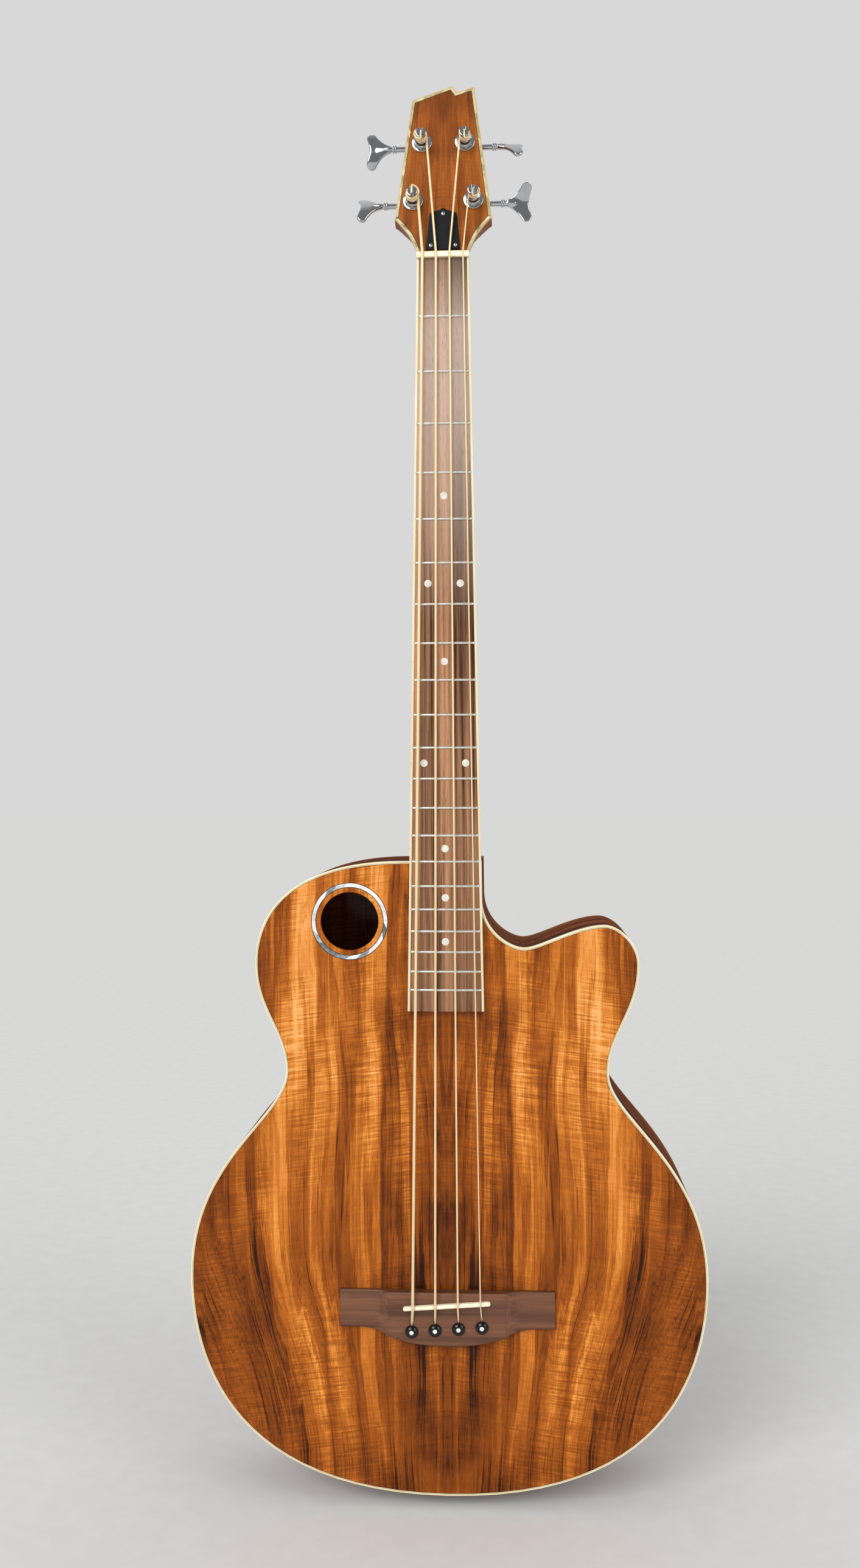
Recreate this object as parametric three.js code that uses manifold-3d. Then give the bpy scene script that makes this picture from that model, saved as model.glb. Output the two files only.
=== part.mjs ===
// Acoustic bass guitar: four strings, one cutaway, small sound hole on the bass side of the top.
// Lengths are millimetres. Z runs up the neck, X points to the treble side, -Y out of the soundboard.
// The origin is the centre of the strap button's outer face, half way through the body's depth at the tail.
import * as THREE from 'three';
import { mergeVertices } from 'three/addons/utils/BufferGeometryUtils.js';
import Module from 'manifold-3d';

const wasm = await Module();
wasm.setup();

// Driving dimensions of the whole instrument
const scaleLength = 863.6;
const fretCount = 21;
const jointFret = 15;
const glueLine = 0.3;
const runningGap = 0.3;
const overrun = 2;
const octave = 12;

const strapButton = {
  stand: 12, faceRadius: 7, faceThick: 3, waistRadius: 4.2, baseRadius: 6.5, baseThick: 2.5,
  shankRadius: 2.2, shankLength: 20,
};

const body = {
  length: 528.2, lowerBout: 431.4, waist: 269.4, upperBout: 320.6,
  depthAtTail: 120, depthAtNeck: 97,
  topThick: 2.8, backThick: 3, sideThick: 2.2,
};

// Heights up the body as shares of its length, distances out as shares of half the upper bout
const outlineShares = {
  lowerBoutUp: 0.3425, waistUp: 0.6672, upperBoutUp: 0.8377,
  hornUp: 0.8991, cutawayUp: 0.8633, cutawayTopUp: 0.9407,
  hornOut: 0.823, cutawayOut: 0.407, shoulderOut: 0.2245,
};

// How far each curve's handles reach, as shares of the curve's span along the handle
const handleShares = {
  tail: [0.891, 0.326], lowerToWaist: [0.572, 0.222], waistToUpper: [0.373, 0.445],
  shoulder: [0.397, 0.843], cutawayTop: [0.667, 0.321], cutaway: [0.19, 0.357], horn: [0.424, 0.54],
};

const binding = { width: 2.4, depth: 6 };
const lining = { thick: 6, depth: 14 };
const soundHole = { across: -80.6, belowJoint: 50.2, radius: 24.25 };
const rosette = { innerRadius: 28.65, outerRadius: 31.75, depth: 1.2 };
const neckBlock = { halfWidth: 45, length: 42 };
const tailBlock = { halfWidth: 45, length: 20 };
const tenon = { halfWidth: 12, depth: 52, length: 24, belowTop: 8 };

const brace = { width: 8, height: 14, endHeight: 4, taper: 45 };
const xBrace = { above: 108, halfAngle: 0.83 };
const toneBar = { length: 210, leanShare: 0.65 };
const shoulderBrace = { belowHole: 52 };
const backBrace = { width: 8, height: 12, shares: [0.23, 0.5, 0.8] };
const bridgePlate = { halfWidth: 84, thick: 2.5, above: 9, below: 42 };

const bridge = {
  halfWidth: 89.5, topEdge: 7, wingEdge: 24, bellyEdge: 37.3, blockHalfWidth: 48,
  height: 9.5, wingHeight: 3.4, scoop: 14, scoopRise: 0.25,
};
const saddle = {
  length: 73.8, thick: 3.5, slotDepth: 5.5, trebleBack: 0.6, bassBack: 6,
};
const bridgePin = {
  setback: 19.5, headRadius: 5.3, headHeight: 3.4, shaftRadius: 2.9, holeRadius: 3.6, tipTaper: 3,
};

const fingerboard = {
  nutWidth: 43.7, endWidth: 63.6, pastLastFret: 17.95, thick: 6.8, bindingWidth: 1.9,
};
const fret = { width: 2.4, crownWidth: 1.2, height: 1.2, seat: 0.5 };
const neck = {
  depthAtNut: 15.6, depthAtHeel: 20, heelReach: 62, heelShort: 3,
  heelCurve: 1.2, heelSpacing: 1.3, heelPinch: 0.5,
};
const nut = { length: 5, proud: 1.8 };
const trussRod = { width: 5, depth: 8, nutRadius: 3.6, nutLength: 10, pocketHalfWidth: 6 };

const headstock = {
  lean: THREE.MathUtils.degToRad(8), thick: 13, veneerThick: 2.2, bindingWidth: 2.8,
  flareHalfWidth: 40.6, flareUp: 30.5,
  leftTopOut: -26.5, leftTopUp: 137.9, peakOut: 7.1, peakUp: 150.3,
  notchOut: 11, notchUp: 144.3, rightTopOut: 26, rightTopUp: 149.1,
};
// Places on the concave neck flare: shares of the way out to the corner and of the way up to it
const flareShares = [[0.02, 0.07], [0.13, 0.25], [0.32, 0.5], [0.62, 0.76], [0.9, 0.96]];

const trussCover = {
  baseHalfWidth: 14.4, shoulderHalfWidth: 12, base: 2.4, shoulderUp: 28.5, apexUp: 39.6, thick: 1.6,
};
const coverScrew = {
  headRadius: 1.7, headHeight: 0.9, shankRadius: 0.9, length: 6, side: 10.2, low: 6, high: 34.1,
};

const tuner = {
  upperOut: 18.1, upperUp: 99, lowerOut: 25.3, lowerUp: 46.8,
  flangeRadius: 8.5, flangeThick: 1.2, hexRadius: 7.2, hexHeight: 3.6, sleeveRadius: 5,
  postRadius: 4, waistRadius: 2.9, capRadius: 4.5, capHeight: 2, slotWidth: 2, slotDepth: 1.5,
  gearRadius: 5.4, gearThick: 4, wormRadius: 2.6, wormHalfLength: 5,
  shaftRadius: 2.3, shaftDepth: 22, wall: 1.6, bossRadius: 4.2, bossReach: 11.6,
  collarRadius: 3.2, collarThick: 1.4, collarGap: 0.5, collarOut: 23,
  buttonOut: 26.8, buttonLength: 22.6, buttonHalfWidth: 16, buttonThick: 2.6, lobeRadius: 4.7, lobeIn: 4.9,
  buttonDish: 3, buttonCup: 4, hubRadius: 2.8,
};

// Gauges from the thickest string to the thinnest, and the post that each one winds on
const strings = [
  { name: 'e', gauge: 2.5, side: -1, upper: false, turns: 1.9, keyTurn: 151 },
  { name: 'a', gauge: 2, side: -1, upper: true, turns: 2.25, keyTurn: 183 },
  { name: 'd', gauge: 1.65, side: 1, upper: true, turns: 2.6, keyTurn: -47 },
  { name: 'g', gauge: 1.15, side: 1, upper: false, turns: 3.3, keyTurn: 198 },
];
const stringRun = { nutSpread: 33.6, saddleSpread: 55.8, pinSpread: 58, overFrets: 0.6, overSaddleLine: 5.2 };
const windingGap = 0.45;
const ball = { radius: 2.3, length: 4.6 };

// Fineness of the curved shapes
const fineness = { outline: 7, hole: 28, screw: 10, round: 14, loop: 24, stringSides: 6, buttonEdge: 5 };
const hexSides = 6;

// Places worked out from the driving dimensions
const fretDistance = (n) => scaleLength * (1 - 2 ** (-n / octave));
const tailZ = strapButton.stand;
const jointZ = tailZ + body.length;
const nutZ = jointZ + fretDistance(jointFret);
const saddleLineZ = nutZ - scaleLength;
const faceY = -body.depthAtTail / 2;
const upBody = (share) => tailZ + share * body.length;
const frontFace = () => faceY;
const depthAt = (z) => THREE.MathUtils.lerp(body.depthAtTail, body.depthAtNeck, (z - tailZ) / body.length);
const backFace = (z) => faceY + depthAt(z);
const shifted = (surface, distance) => (z) => surface(z) + distance;
const underTop = faceY + body.topThick + glueLine;
const insideBack = shifted(backFace, -body.backThick - glueLine);
const boardFaceY = faceY - glueLine - fingerboard.thick;
const fretTopY = boardFaceY - fret.height;
const nutTopZ = nutZ + nut.length;
const boardLength = fretDistance(fretCount) + fingerboard.pastLastFret;
const boardHalfWidth = (z) => THREE.MathUtils.lerp(
  fingerboard.nutWidth, fingerboard.endWidth, (nutZ - z) / boardLength) / 2;

const sleeveTop = tuner.flangeThick + tuner.hexHeight + 2 * glueLine;
const windingHeight = ({ gauge, turns }) => gauge + turns * (gauge + windingGap);
const capLow = sleeveTop + 2 * runningGap + Math.max(...strings.map(windingHeight));
const postHeight = capLow + tuner.capHeight;

// Materials
function material(color, roughness, metalness = 0) {
  return new THREE.MeshStandardMaterial({ color, roughness, metalness });
}

const koa = material('#a5642e', 0.25);
const darkKoa = material('#5a2d16', 0.3);
const mahogany = material('#6b3b20', 0.4);
const spruce = material('#d8b98a', 0.7);
const rosewood = material('#4c3127', 0.45);
const cream = material('#f0e0b4', 0.35);
const pearl = material('#dfe0c8', 0.2);
const bone = material('#f8efd0', 0.4);
const blackPlastic = material('#141416', 0.4);
const chrome = material('#c9ccd0', 0.12, 1);
const steel = material('#8d9095', 0.35, 1);
const bronze = material('#d9b483', 0.35, 1);

// Solids: conversion between three.js geometries and closed solids for cuts and joins
function toSolid(geometry) {
  const plain = geometry.clone();
  plain.deleteAttribute('normal');
  plain.deleteAttribute('uv');
  const merged = mergeVertices(plain);
  return new wasm.Manifold(new wasm.Mesh({
    numProp: 3,
    vertProperties: new Float32Array(merged.attributes.position.array),
    triVerts: new Uint32Array(merged.index.array),
  }));
}

function toGeometry(solid) {
  const mesh = solid.getMesh();
  const geometry = new THREE.BufferGeometry();
  geometry.setAttribute('position', new THREE.BufferAttribute(new Float32Array(mesh.vertProperties), 3));
  geometry.setIndex(new THREE.BufferAttribute(new Uint32Array(mesh.triVerts), 1));
  return geometry;
}

function cut(shape, ...tools) {
  const solid = tools.reduce((left, tool) => left.subtract(toSolid(tool)), toSolid(shape));
  return toGeometry(solid);
}

function join(...shapes) {
  return toGeometry(shapes.map(toSolid).reduce((all, next) => all.add(next)));
}

function meet(first, second) {
  return toGeometry(toSolid(first).intersect(toSolid(second)));
}

// A plate whose outline lies in the XZ plane, between two surfaces given as Y at a height Z
function slab(outline, front, back, holes = []) {
  const counterClockwise = THREE.ShapeUtils.isClockWise(outline) ? outline.slice().reverse() : outline;
  const shape = new THREE.Shape(counterClockwise);
  shape.holes = holes.map((hole) => new THREE.Path(hole));
  const geometry = new THREE.ExtrudeGeometry(shape, { depth: 1, bevelEnabled: false });
  geometry.rotateX(Math.PI / 2);
  const position = geometry.attributes.position;
  for (let i = 0; i < position.count; i += 1) {
    const z = position.getZ(i);
    position.setY(i, THREE.MathUtils.lerp(back(z), front(z), -position.getY(i)));
  }
  return geometry;
}

function box(x0, x1, y0, y1, z0, z1) {
  const geometry = new THREE.BoxGeometry(x1 - x0, y1 - y0, z1 - z0);
  return geometry.translate((x0 + x1) / 2, (y0 + y1) / 2, (z0 + z1) / 2);
}

const circle = (x, z, radius, steps) => Array.from({ length: steps }, (_, i) => {
  const angle = (i / steps) * 2 * Math.PI;
  return new THREE.Vector2(x + radius * Math.cos(angle), z + radius * Math.sin(angle));
});

// A turned shape: pairs of radius and height, closed on the axis, with the axis along -Y
function turned(profile, steps) {
  const points = profile.map(([radius, height]) => new THREE.Vector2(radius, height));
  return new THREE.LatheGeometry(points, steps).rotateX(Math.PI);
}

// A closed outline moved inwards by a distance, corner by corner
function inset(outline, distance) {
  const turn = THREE.ShapeUtils.isClockWise(outline) ? -1 : 1;
  return outline.map((point, i) => {
    const before = outline[(i + outline.length - 1) % outline.length];
    const after = outline[(i + 1) % outline.length];
    const inwards = [point.clone().sub(before), after.clone().sub(point)]
      .map((edge) => new THREE.Vector2(-edge.y, edge.x).normalize().multiplyScalar(turn));
    const corner = inwards[0].clone().add(inwards[1]);
    return point.clone().addScaledVector(corner, distance / (1 + inwards[0].dot(inwards[1])));
  });
}

// Body outline: curves between the places where it runs straight up or straight across
function bodyOutline() {
  const lower = body.lowerBout / 2;
  const waist = body.waist / 2;
  const upper = body.upperBout / 2;
  const s = outlineShares;
  const treble = boardHalfWidth(upBody(s.cutawayTopUp));
  const path = new THREE.Shape();
  const here = new THREE.Vector2();
  const start = (x, z) => {
    path.moveTo(x, z);
    here.set(x, z);
  };
  const straight = (x, z) => {
    path.lineTo(x, z);
    here.set(x, z);
  };
  // Handles leave and arrive along the directions named: 'up' along Z, 'across' along X
  const curve = (leaving, x, z, arriving, [leaveShare, arriveShare]) => {
    const dx = x - here.x;
    const dz = z - here.y;
    const first = leaving === 'up' ? [here.x, here.y + leaveShare * dz] : [here.x + leaveShare * dx, here.y];
    const last = arriving === 'up' ? [x, z - arriveShare * dz] : [x - arriveShare * dx, z];
    path.bezierCurveTo(...first, ...last, x, z);
    here.set(x, z);
  };
  const back = ([a, b]) => [b, a];
  start(0, tailZ);
  curve('across', -lower, upBody(s.lowerBoutUp), 'up', handleShares.tail);
  curve('up', -waist, upBody(s.waistUp), 'up', handleShares.lowerToWaist);
  curve('up', -upper, upBody(s.upperBoutUp), 'up', handleShares.waistToUpper);
  curve('up', -upper * s.shoulderOut, jointZ, 'across', handleShares.shoulder);
  straight(treble - glueLine, jointZ);
  straight(treble, upBody(s.cutawayTopUp));
  curve('up', upper * s.cutawayOut, upBody(s.cutawayUp), 'across', handleShares.cutawayTop);
  curve('across', upper * s.hornOut, upBody(s.hornUp), 'across', handleShares.cutaway);
  curve('across', upper, upBody(s.upperBoutUp), 'up', handleShares.horn);
  curve('up', waist, upBody(s.waistUp), 'up', back(handleShares.waistToUpper));
  curve('up', lower, upBody(s.lowerBoutUp), 'up', back(handleShares.lowerToWaist));
  curve('up', 0, tailZ, 'across', back(handleShares.tail));
  const points = path.getPoints(fineness.outline);
  points.pop();
  return points;
}

const outline = bodyOutline();
const ring = (outer, inner, front, back) => slab(inset(outline, outer), front, back, [inset(outline, inner)]);
const bassHalf = box(-body.lowerBout, -glueLine / 2, faceY - body.depthAtTail, -faceY + body.depthAtTail,
  tailZ - body.length, jointZ + body.length);
const trebleHalf = bassHalf.clone().translate(body.lowerBout + glueLine, 0, 0);
const innerInset = binding.width + glueLine;
const linedInset = innerInset + lining.thick + glueLine;

const guitar = new THREE.Group();
const headFrame = new THREE.Group();
headFrame.position.set(0, faceY, nutTopZ + glueLine);
headFrame.rotation.x = -headstock.lean;
guitar.add(headFrame);

function addPiece(name, geometry, look, parent = guitar) {
  const piece = new THREE.Mesh(geometry, look);
  piece.name = name;
  parent.add(piece);
  return piece;
}

// String lines: where each string crosses the nut, the saddle and its bridge pin
const saddleSlope = (saddle.bassBack - saddle.trebleBack) / saddle.length;
const saddleZ = (x) => saddleLineZ - (saddle.bassBack + saddle.trebleBack) / 2 + saddleSlope * x;
strings.forEach((string, i) => {
  const place = i / (strings.length - 1) - 0.5;
  string.nutX = place * stringRun.nutSpread;
  string.saddleX = place * stringRun.saddleSpread;
  string.pinX = place * stringRun.pinSpread;
  string.pinZ = saddleZ(string.pinX) - bridgePin.setback;
  string.radius = string.gauge / 2;
});
const underStringAtNut = fretTopY - stringRun.overFrets;
const underStringAtSaddle = fretTopY - stringRun.overSaddleLine;
const bridgeTopY = faceY - glueLine - bridge.height;
const plateY = underTop + bridgePlate.thick;

// How a string falls from the saddle's crown to its pin hole: where it enters the hole and its slope
function stringDrop({ saddleX, pinZ, radius }) {
  const rampZ = pinZ + bridgePin.headRadius;
  const crownZ = saddleZ(saddleX) - saddle.thick / 2;
  const rampY = bridgeTopY + glueLine + radius;
  const crownY = underStringAtSaddle - radius;
  const slope = (rampY - crownY) / (crownZ - rampZ);
  const dropZ = pinZ + bridgePin.holeRadius - glueLine - radius;
  return { rampZ, rampY, crownZ, crownY, dropZ, rampEnd: rampZ + 2 * (radius + glueLine) / slope };
}

// A round bar along Y, used for pins and for the holes that take them
function barAlongY(x, z, radius, y0, y1, steps = fineness.screw) {
  return new THREE.CylinderGeometry(radius, radius, y1 - y0, steps).translate(x, (y0 + y1) / 2, z);
}

// Body shell
const holeZ = jointZ - soundHole.belowJoint;
const pinHoles = strings.map(({ pinX, pinZ }) => barAlongY(
  pinX, pinZ, bridgePin.holeRadius, faceY - overrun, plateY + overrun));

function buildShell() {
  const hole = circle(soundHole.across, holeZ, soundHole.radius, fineness.hole);
  const channel = slab(
    circle(soundHole.across, holeZ, rosette.outerRadius + glueLine, fineness.hole),
    shifted(frontFace, -overrun), shifted(frontFace, rosette.depth),
    [circle(soundHole.across, holeZ, rosette.innerRadius - glueLine, fineness.hole)]);
  const plate = slab(inset(outline, innerInset), frontFace, shifted(frontFace, body.topThick), [hole]);
  addPiece('soundboard', cut(plate, channel, ...pinHoles), koa);

  addPiece('rosette', slab(
    circle(soundHole.across, holeZ, rosette.outerRadius, fineness.hole),
    frontFace, shifted(frontFace, rosette.depth - glueLine),
    [circle(soundHole.across, holeZ, rosette.innerRadius, fineness.hole)]), pearl);

  const back = slab(inset(outline, innerInset), shifted(backFace, -body.backThick), backFace);
  addPiece('back_plate', back, darkKoa);
  addPiece('top_binding', ring(0, binding.width, frontFace, shifted(frontFace, binding.depth)), cream);
  addPiece('back_binding', ring(0, binding.width, shifted(backFace, -binding.depth), backFace), cream);

  const wall = ring(0, body.sideThick, shifted(frontFace, binding.depth + glueLine),
    shifted(backFace, -binding.depth - glueLine));
  const buttonHole = new THREE.CylinderGeometry(
    strapButton.shankRadius + glueLine, strapButton.shankRadius + glueLine,
    strapButton.shankLength, fineness.screw).rotateX(Math.PI / 2).translate(0, 0, tailZ);
  const tenonHole = tenonBox(glueLine);
  addPiece('side_bass', cut(meet(wall, bassHalf), buttonHole, tenonHole), darkKoa);
  addPiece('side_treble', cut(meet(wall, trebleHalf), buttonHole, tenonHole), darkKoa);
}

// Neck tenon, or with room the mortise that takes it
function tenonBox(room) {
  const front = faceY + tenon.belowTop;
  return box(-tenon.halfWidth - room, tenon.halfWidth + room, front - room, front + tenon.depth + room,
    jointZ - tenon.length - room, jointZ + overrun);
}

// Boxes that the two end blocks fill, or with room the gap that the linings leave for them
function blockBox(halfWidth, low, high, room) {
  return box(-halfWidth - room, halfWidth + room, 2 * faceY, -2 * faceY, low - room, high + room);
}

function neckBlockBox(room) {
  return blockBox(neckBlock.halfWidth, jointZ - innerInset - neckBlock.length, jointZ + overrun, room);
}

function tailBlockBox(room) {
  return blockBox(tailBlock.halfWidth, tailZ - overrun, tailZ + innerInset + tailBlock.length, room);
}

function buildInside() {
  const room = slab(inset(outline, innerInset), () => underTop, insideBack);
  const pilot = new THREE.CylinderGeometry(
    strapButton.shankRadius + glueLine, strapButton.shankRadius + glueLine,
    2 * (strapButton.shankLength + glueLine), fineness.screw).rotateX(Math.PI / 2).translate(0, 0, tailZ);
  addPiece('neck_block', cut(meet(neckBlockBox(0), room), tenonBox(glueLine)), mahogany);
  addPiece('tail_block', cut(meet(tailBlockBox(0), room), pilot), mahogany);

  const stripEdge = innerInset + lining.thick;
  const topStrip = ring(innerInset, stripEdge, () => underTop, () => underTop + lining.depth);
  const backStrip = ring(innerInset, stripEdge, shifted(insideBack, -lining.depth), insideBack);
  [['bass', bassHalf], ['treble', trebleHalf]].forEach(([side, half]) => {
    [['top', topStrip], ['back', backStrip]].forEach(([face, strip]) => {
      const kept = cut(meet(strip, half), neckBlockBox(glueLine), tailBlockBox(glueLine));
      addPiece(`${face}_lining_${side}`, kept, mahogany);
    });
  });
}

// A brace on the soundboard's inner face, through the centre line at a height, its ends lowered
function topBrace(lean, z, left, right) {
  const profile = new THREE.Shape([
    [-left, 0], [right, 0], [right, brace.endHeight],
    [right - brace.taper, brace.height], [brace.taper - left, brace.height], [-left, brace.endHeight],
  ].map(([along, height]) => new THREE.Vector2(along, height)));
  const geometry = new THREE.ExtrudeGeometry(profile, { depth: brace.width, bevelEnabled: false });
  return geometry.translate(0, 0, -brace.width / 2).rotateY(-lean).translate(0, underTop, z);
}

// Distance from the centre line to the linings, from a height along a direction
function reachToLinings(z, along) {
  const edge = inset(outline, linedInset);
  const distances = edge.map((from, i) => {
    const side = edge[(i + 1) % edge.length].clone().sub(from);
    const gap = from.clone().sub(new THREE.Vector2(0, z));
    const share = gap.cross(along) / along.cross(side);
    const distance = gap.cross(side) / along.cross(side);
    return share >= 0 && share <= 1 && distance > 0 ? distance : Infinity;
  });
  return Math.min(...distances);
}

// A brace that runs from lining to lining
function fullBrace(lean, z) {
  const along = new THREE.Vector2(Math.cos(lean), Math.sin(lean));
  return topBrace(lean, z, reachToLinings(z, along.clone().negate()), reachToLinings(z, along));
}

// Space cut out of a brace where another one crosses it
function lapCut(lean, z, from, to) {
  const length = 2 * body.lowerBout;
  const width = brace.width + 2 * glueLine;
  return new THREE.BoxGeometry(length, to - from, width)
    .rotateY(-lean).translate(0, underTop + (from + to) / 2, z);
}

function buildBraces() {
  const room = slab(inset(outline, linedInset), () => underTop, insideBack);
  const crossZ = saddleLineZ + xBrace.above;
  const lean = Math.PI / 2 - xBrace.halfAngle;
  const lap = brace.height / 2;
  const bass = fullBrace(-lean, crossZ);
  const treble = fullBrace(lean, crossZ);
  const lapBelow = lapCut(lean, crossZ, lap, brace.height + overrun);
  const lapAbove = lapCut(-lean, crossZ, -overrun, lap + glueLine);
  addPiece('x_brace_bass', cut(meet(bass, room), lapBelow), spruce);
  addPiece('x_brace_treble', cut(meet(treble, room), lapAbove), spruce);

  const plateLow = saddleLineZ - bridgePlate.below;
  const blockTop = tailZ + innerInset + tailBlock.length;
  const spare = plateLow - blockTop - brace.width - 2 * glueLine;
  const barLean = Math.atan(toneBar.leanShare * spare / toneBar.length);
  const bar = topBrace(barLean, (plateLow + blockTop) / 2, toneBar.length / 2, toneBar.length / 2);
  addPiece('tone_bar', meet(bar, room), spruce);
  addPiece('shoulder_brace', meet(fullBrace(0, holeZ - shoulderBrace.belowHole), room), spruce);
  const plate = box(-bridgePlate.halfWidth, bridgePlate.halfWidth, underTop, plateY,
    plateLow, saddleLineZ + bridgePlate.above);
  addPiece('bridge_plate', cut(plate, ...pinHoles), rosewood);

  backBrace.shares.forEach((share, i) => {
    const half = body.lowerBout / 2;
    const low = upBody(share) - backBrace.width / 2;
    const high = low + backBrace.width;
    const strip = slab([[-half, low], [half, low], [half, high], [-half, high]]
      .map(([x, z]) => new THREE.Vector2(x, z)), shifted(insideBack, -backBrace.height), insideBack);
    addPiece(`back_brace_${i + 1}`, meet(strip, room), spruce);
  });
}

// Bridge: a belly outline cut from a bar whose middle block steps down to thin wings
function buildBridge() {
  const { halfWidth, blockHalfWidth, scoop, height, wingHeight } = bridge;
  const low = saddleLineZ - bridge.wingEdge;
  const bellyHalf = halfWidth - bridge.wingEdge / 2;
  const belly = new THREE.CubicBezierCurve(
    new THREE.Vector2(bellyHalf, low), new THREE.Vector2(blockHalfWidth, low),
    new THREE.Vector2(blockHalfWidth, saddleLineZ - bridge.bellyEdge),
    new THREE.Vector2(0, saddleLineZ - bridge.bellyEdge)).getPoints(fineness.outline);
  const mirrored = belly.slice(0, -1).reverse().map(({ x, y }) => new THREE.Vector2(-x, y));
  const topEdge = saddleLineZ + bridge.topEdge;
  const plan = slab([
    new THREE.Vector2(-halfWidth, topEdge), new THREE.Vector2(halfWidth, topEdge),
    new THREE.Vector2(halfWidth, low), ...belly, ...mirrored, new THREE.Vector2(-halfWidth, low),
  ], () => bridgeTopY - overrun, () => faceY - glueLine);

  const scoopHeight = THREE.MathUtils.lerp(wingHeight, height, bridge.scoopRise);
  const half = [
    [halfWidth + overrun, 0], [halfWidth + overrun, wingHeight], [blockHalfWidth + scoop, wingHeight],
    [blockHalfWidth + scoop / 2, scoopHeight], [blockHalfWidth, height]];
  const profile = new THREE.Shape([
    ...half, ...half.slice().reverse().map(([x, h]) => [-x, h])].map(([x, h]) => new THREE.Vector2(x, h)));
  const barLength = bridge.topEdge + bridge.bellyEdge + 2 * overrun;
  const bar = new THREE.ExtrudeGeometry(profile, { depth: barLength, bevelEnabled: false })
    .rotateZ(Math.PI).translate(0, faceY - glueLine, saddleLineZ - bridge.bellyEdge - overrun);

  const lean = Math.atan(saddleSlope);
  const seat = new THREE.BoxGeometry(
    saddle.length + 2 * glueLine, 2 * saddle.slotDepth, saddle.thick + 2 * glueLine)
    .rotateY(-lean).translate(0, bridgeTopY, saddleZ(0));
  const ramps = strings.map((string) => box(
    Math.min(string.pinX, string.saddleX) - string.radius - glueLine,
    Math.max(string.pinX, string.saddleX) + string.radius + glueLine,
    bridgeTopY - overrun, stringDrop(string).rampY + 2 * string.radius + glueLine,
    string.pinZ, stringDrop(string).rampEnd));
  const holes = strings.map(({ pinX, pinZ }) => barAlongY(
    pinX, pinZ, bridgePin.holeRadius, bridgeTopY - overrun, faceY + overrun));
  addPiece('bridge', cut(meet(bar, plan), seat, ...ramps, ...holes), rosewood);

  const crownY = underStringAtSaddle + glueLine;
  const seatY = bridgeTopY + saddle.slotDepth - glueLine;
  const blade = new THREE.BoxGeometry(saddle.length, seatY - crownY, saddle.thick)
    .rotateY(-lean).translate(0, (seatY + crownY) / 2, saddleZ(0));
  addPiece('saddle', blade, bone);

  strings.forEach((string) => {
    const { name, pinX, pinZ, radius } = string;
    const p = bridgePin;
    const stem = plateY - bridgeTopY;
    const pin = turned([
      [0, -stem], [p.shaftRadius - p.tipTaper / 2, -stem], [p.shaftRadius, p.tipTaper - stem],
      [p.shaftRadius, glueLine], [p.headRadius, glueLine],
      [p.headRadius, glueLine + p.headHeight / 2], [p.headRadius / 2, glueLine + p.headHeight],
      [0, glueLine + p.headHeight],
    ], fineness.screw).translate(pinX, bridgeTopY, pinZ);
    const grooveZ = stringDrop(string).dropZ - radius - glueLine;
    const groove = box(pinX - radius - glueLine, pinX + radius + glueLine,
      bridgeTopY - glueLine, plateY + overrun, grooveZ, pinZ + p.headRadius);
    addPiece(`bridge_pin_${name}`, cut(pin, groove), blackPlastic);
  });
}

// Strap button with the shank that screws into the tail block
function buildStrapButton() {
  const b = strapButton;
  const stand = b.stand - glueLine;
  const button = new THREE.LatheGeometry([
    [0, 0], [b.faceRadius, 0], [b.faceRadius, b.faceThick], [b.waistRadius, (stand + b.faceThick) / 2],
    [b.baseRadius, stand - b.baseThick], [b.baseRadius, stand], [b.shankRadius, stand],
    [b.shankRadius, b.stand + b.shankLength - glueLine], [0, b.stand + b.shankLength - glueLine],
  ].map(([radius, height]) => new THREE.Vector2(radius, height)), fineness.round);
  addPiece('strap_button', button.rotateX(Math.PI / 2), chrome);
}

// Headstock outline in the head's own plane, from the nut's bass end round to its treble end
function headOutline(edgeInset = 0) {
  const h = headstock;
  const foot = boardHalfWidth(nutZ);
  const out = ([x, up]) => new THREE.Vector2(foot + x * (h.flareHalfWidth - foot), up * h.flareUp);
  const flare = flareShares.map(out);
  const corner = new THREE.Vector2(h.flareHalfWidth, h.flareUp);
  const treble = [new THREE.Vector2(foot, 0), ...flare, corner];
  const bass = treble.map(({ x, y }) => new THREE.Vector2(-x, y));
  const top = [[h.leftTopOut, h.leftTopUp], [h.peakOut, h.peakUp], [h.notchOut, h.notchUp],
    [h.rightTopOut, h.rightTopUp]].map(([x, up]) => new THREE.Vector2(x, up));
  const whole = [...bass, ...top, ...treble.reverse()];
  if (edgeInset === 0) {
    return whole;
  }
  return inset(whole, edgeInset).map(({ x, y }) => new THREE.Vector2(x, Math.max(y, 0)));
}

const flat = (y) => () => y;
const posts = strings.map(({ side, upper }) => ({
  x: side * (upper ? tuner.upperOut : tuner.lowerOut),
  up: upper ? tuner.upperUp : tuner.lowerUp,
}));
const veneerFaceY = -headstock.veneerThick - glueLine;
const rodPocketUp = trussRod.nutLength + nut.length + overrun;

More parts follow.
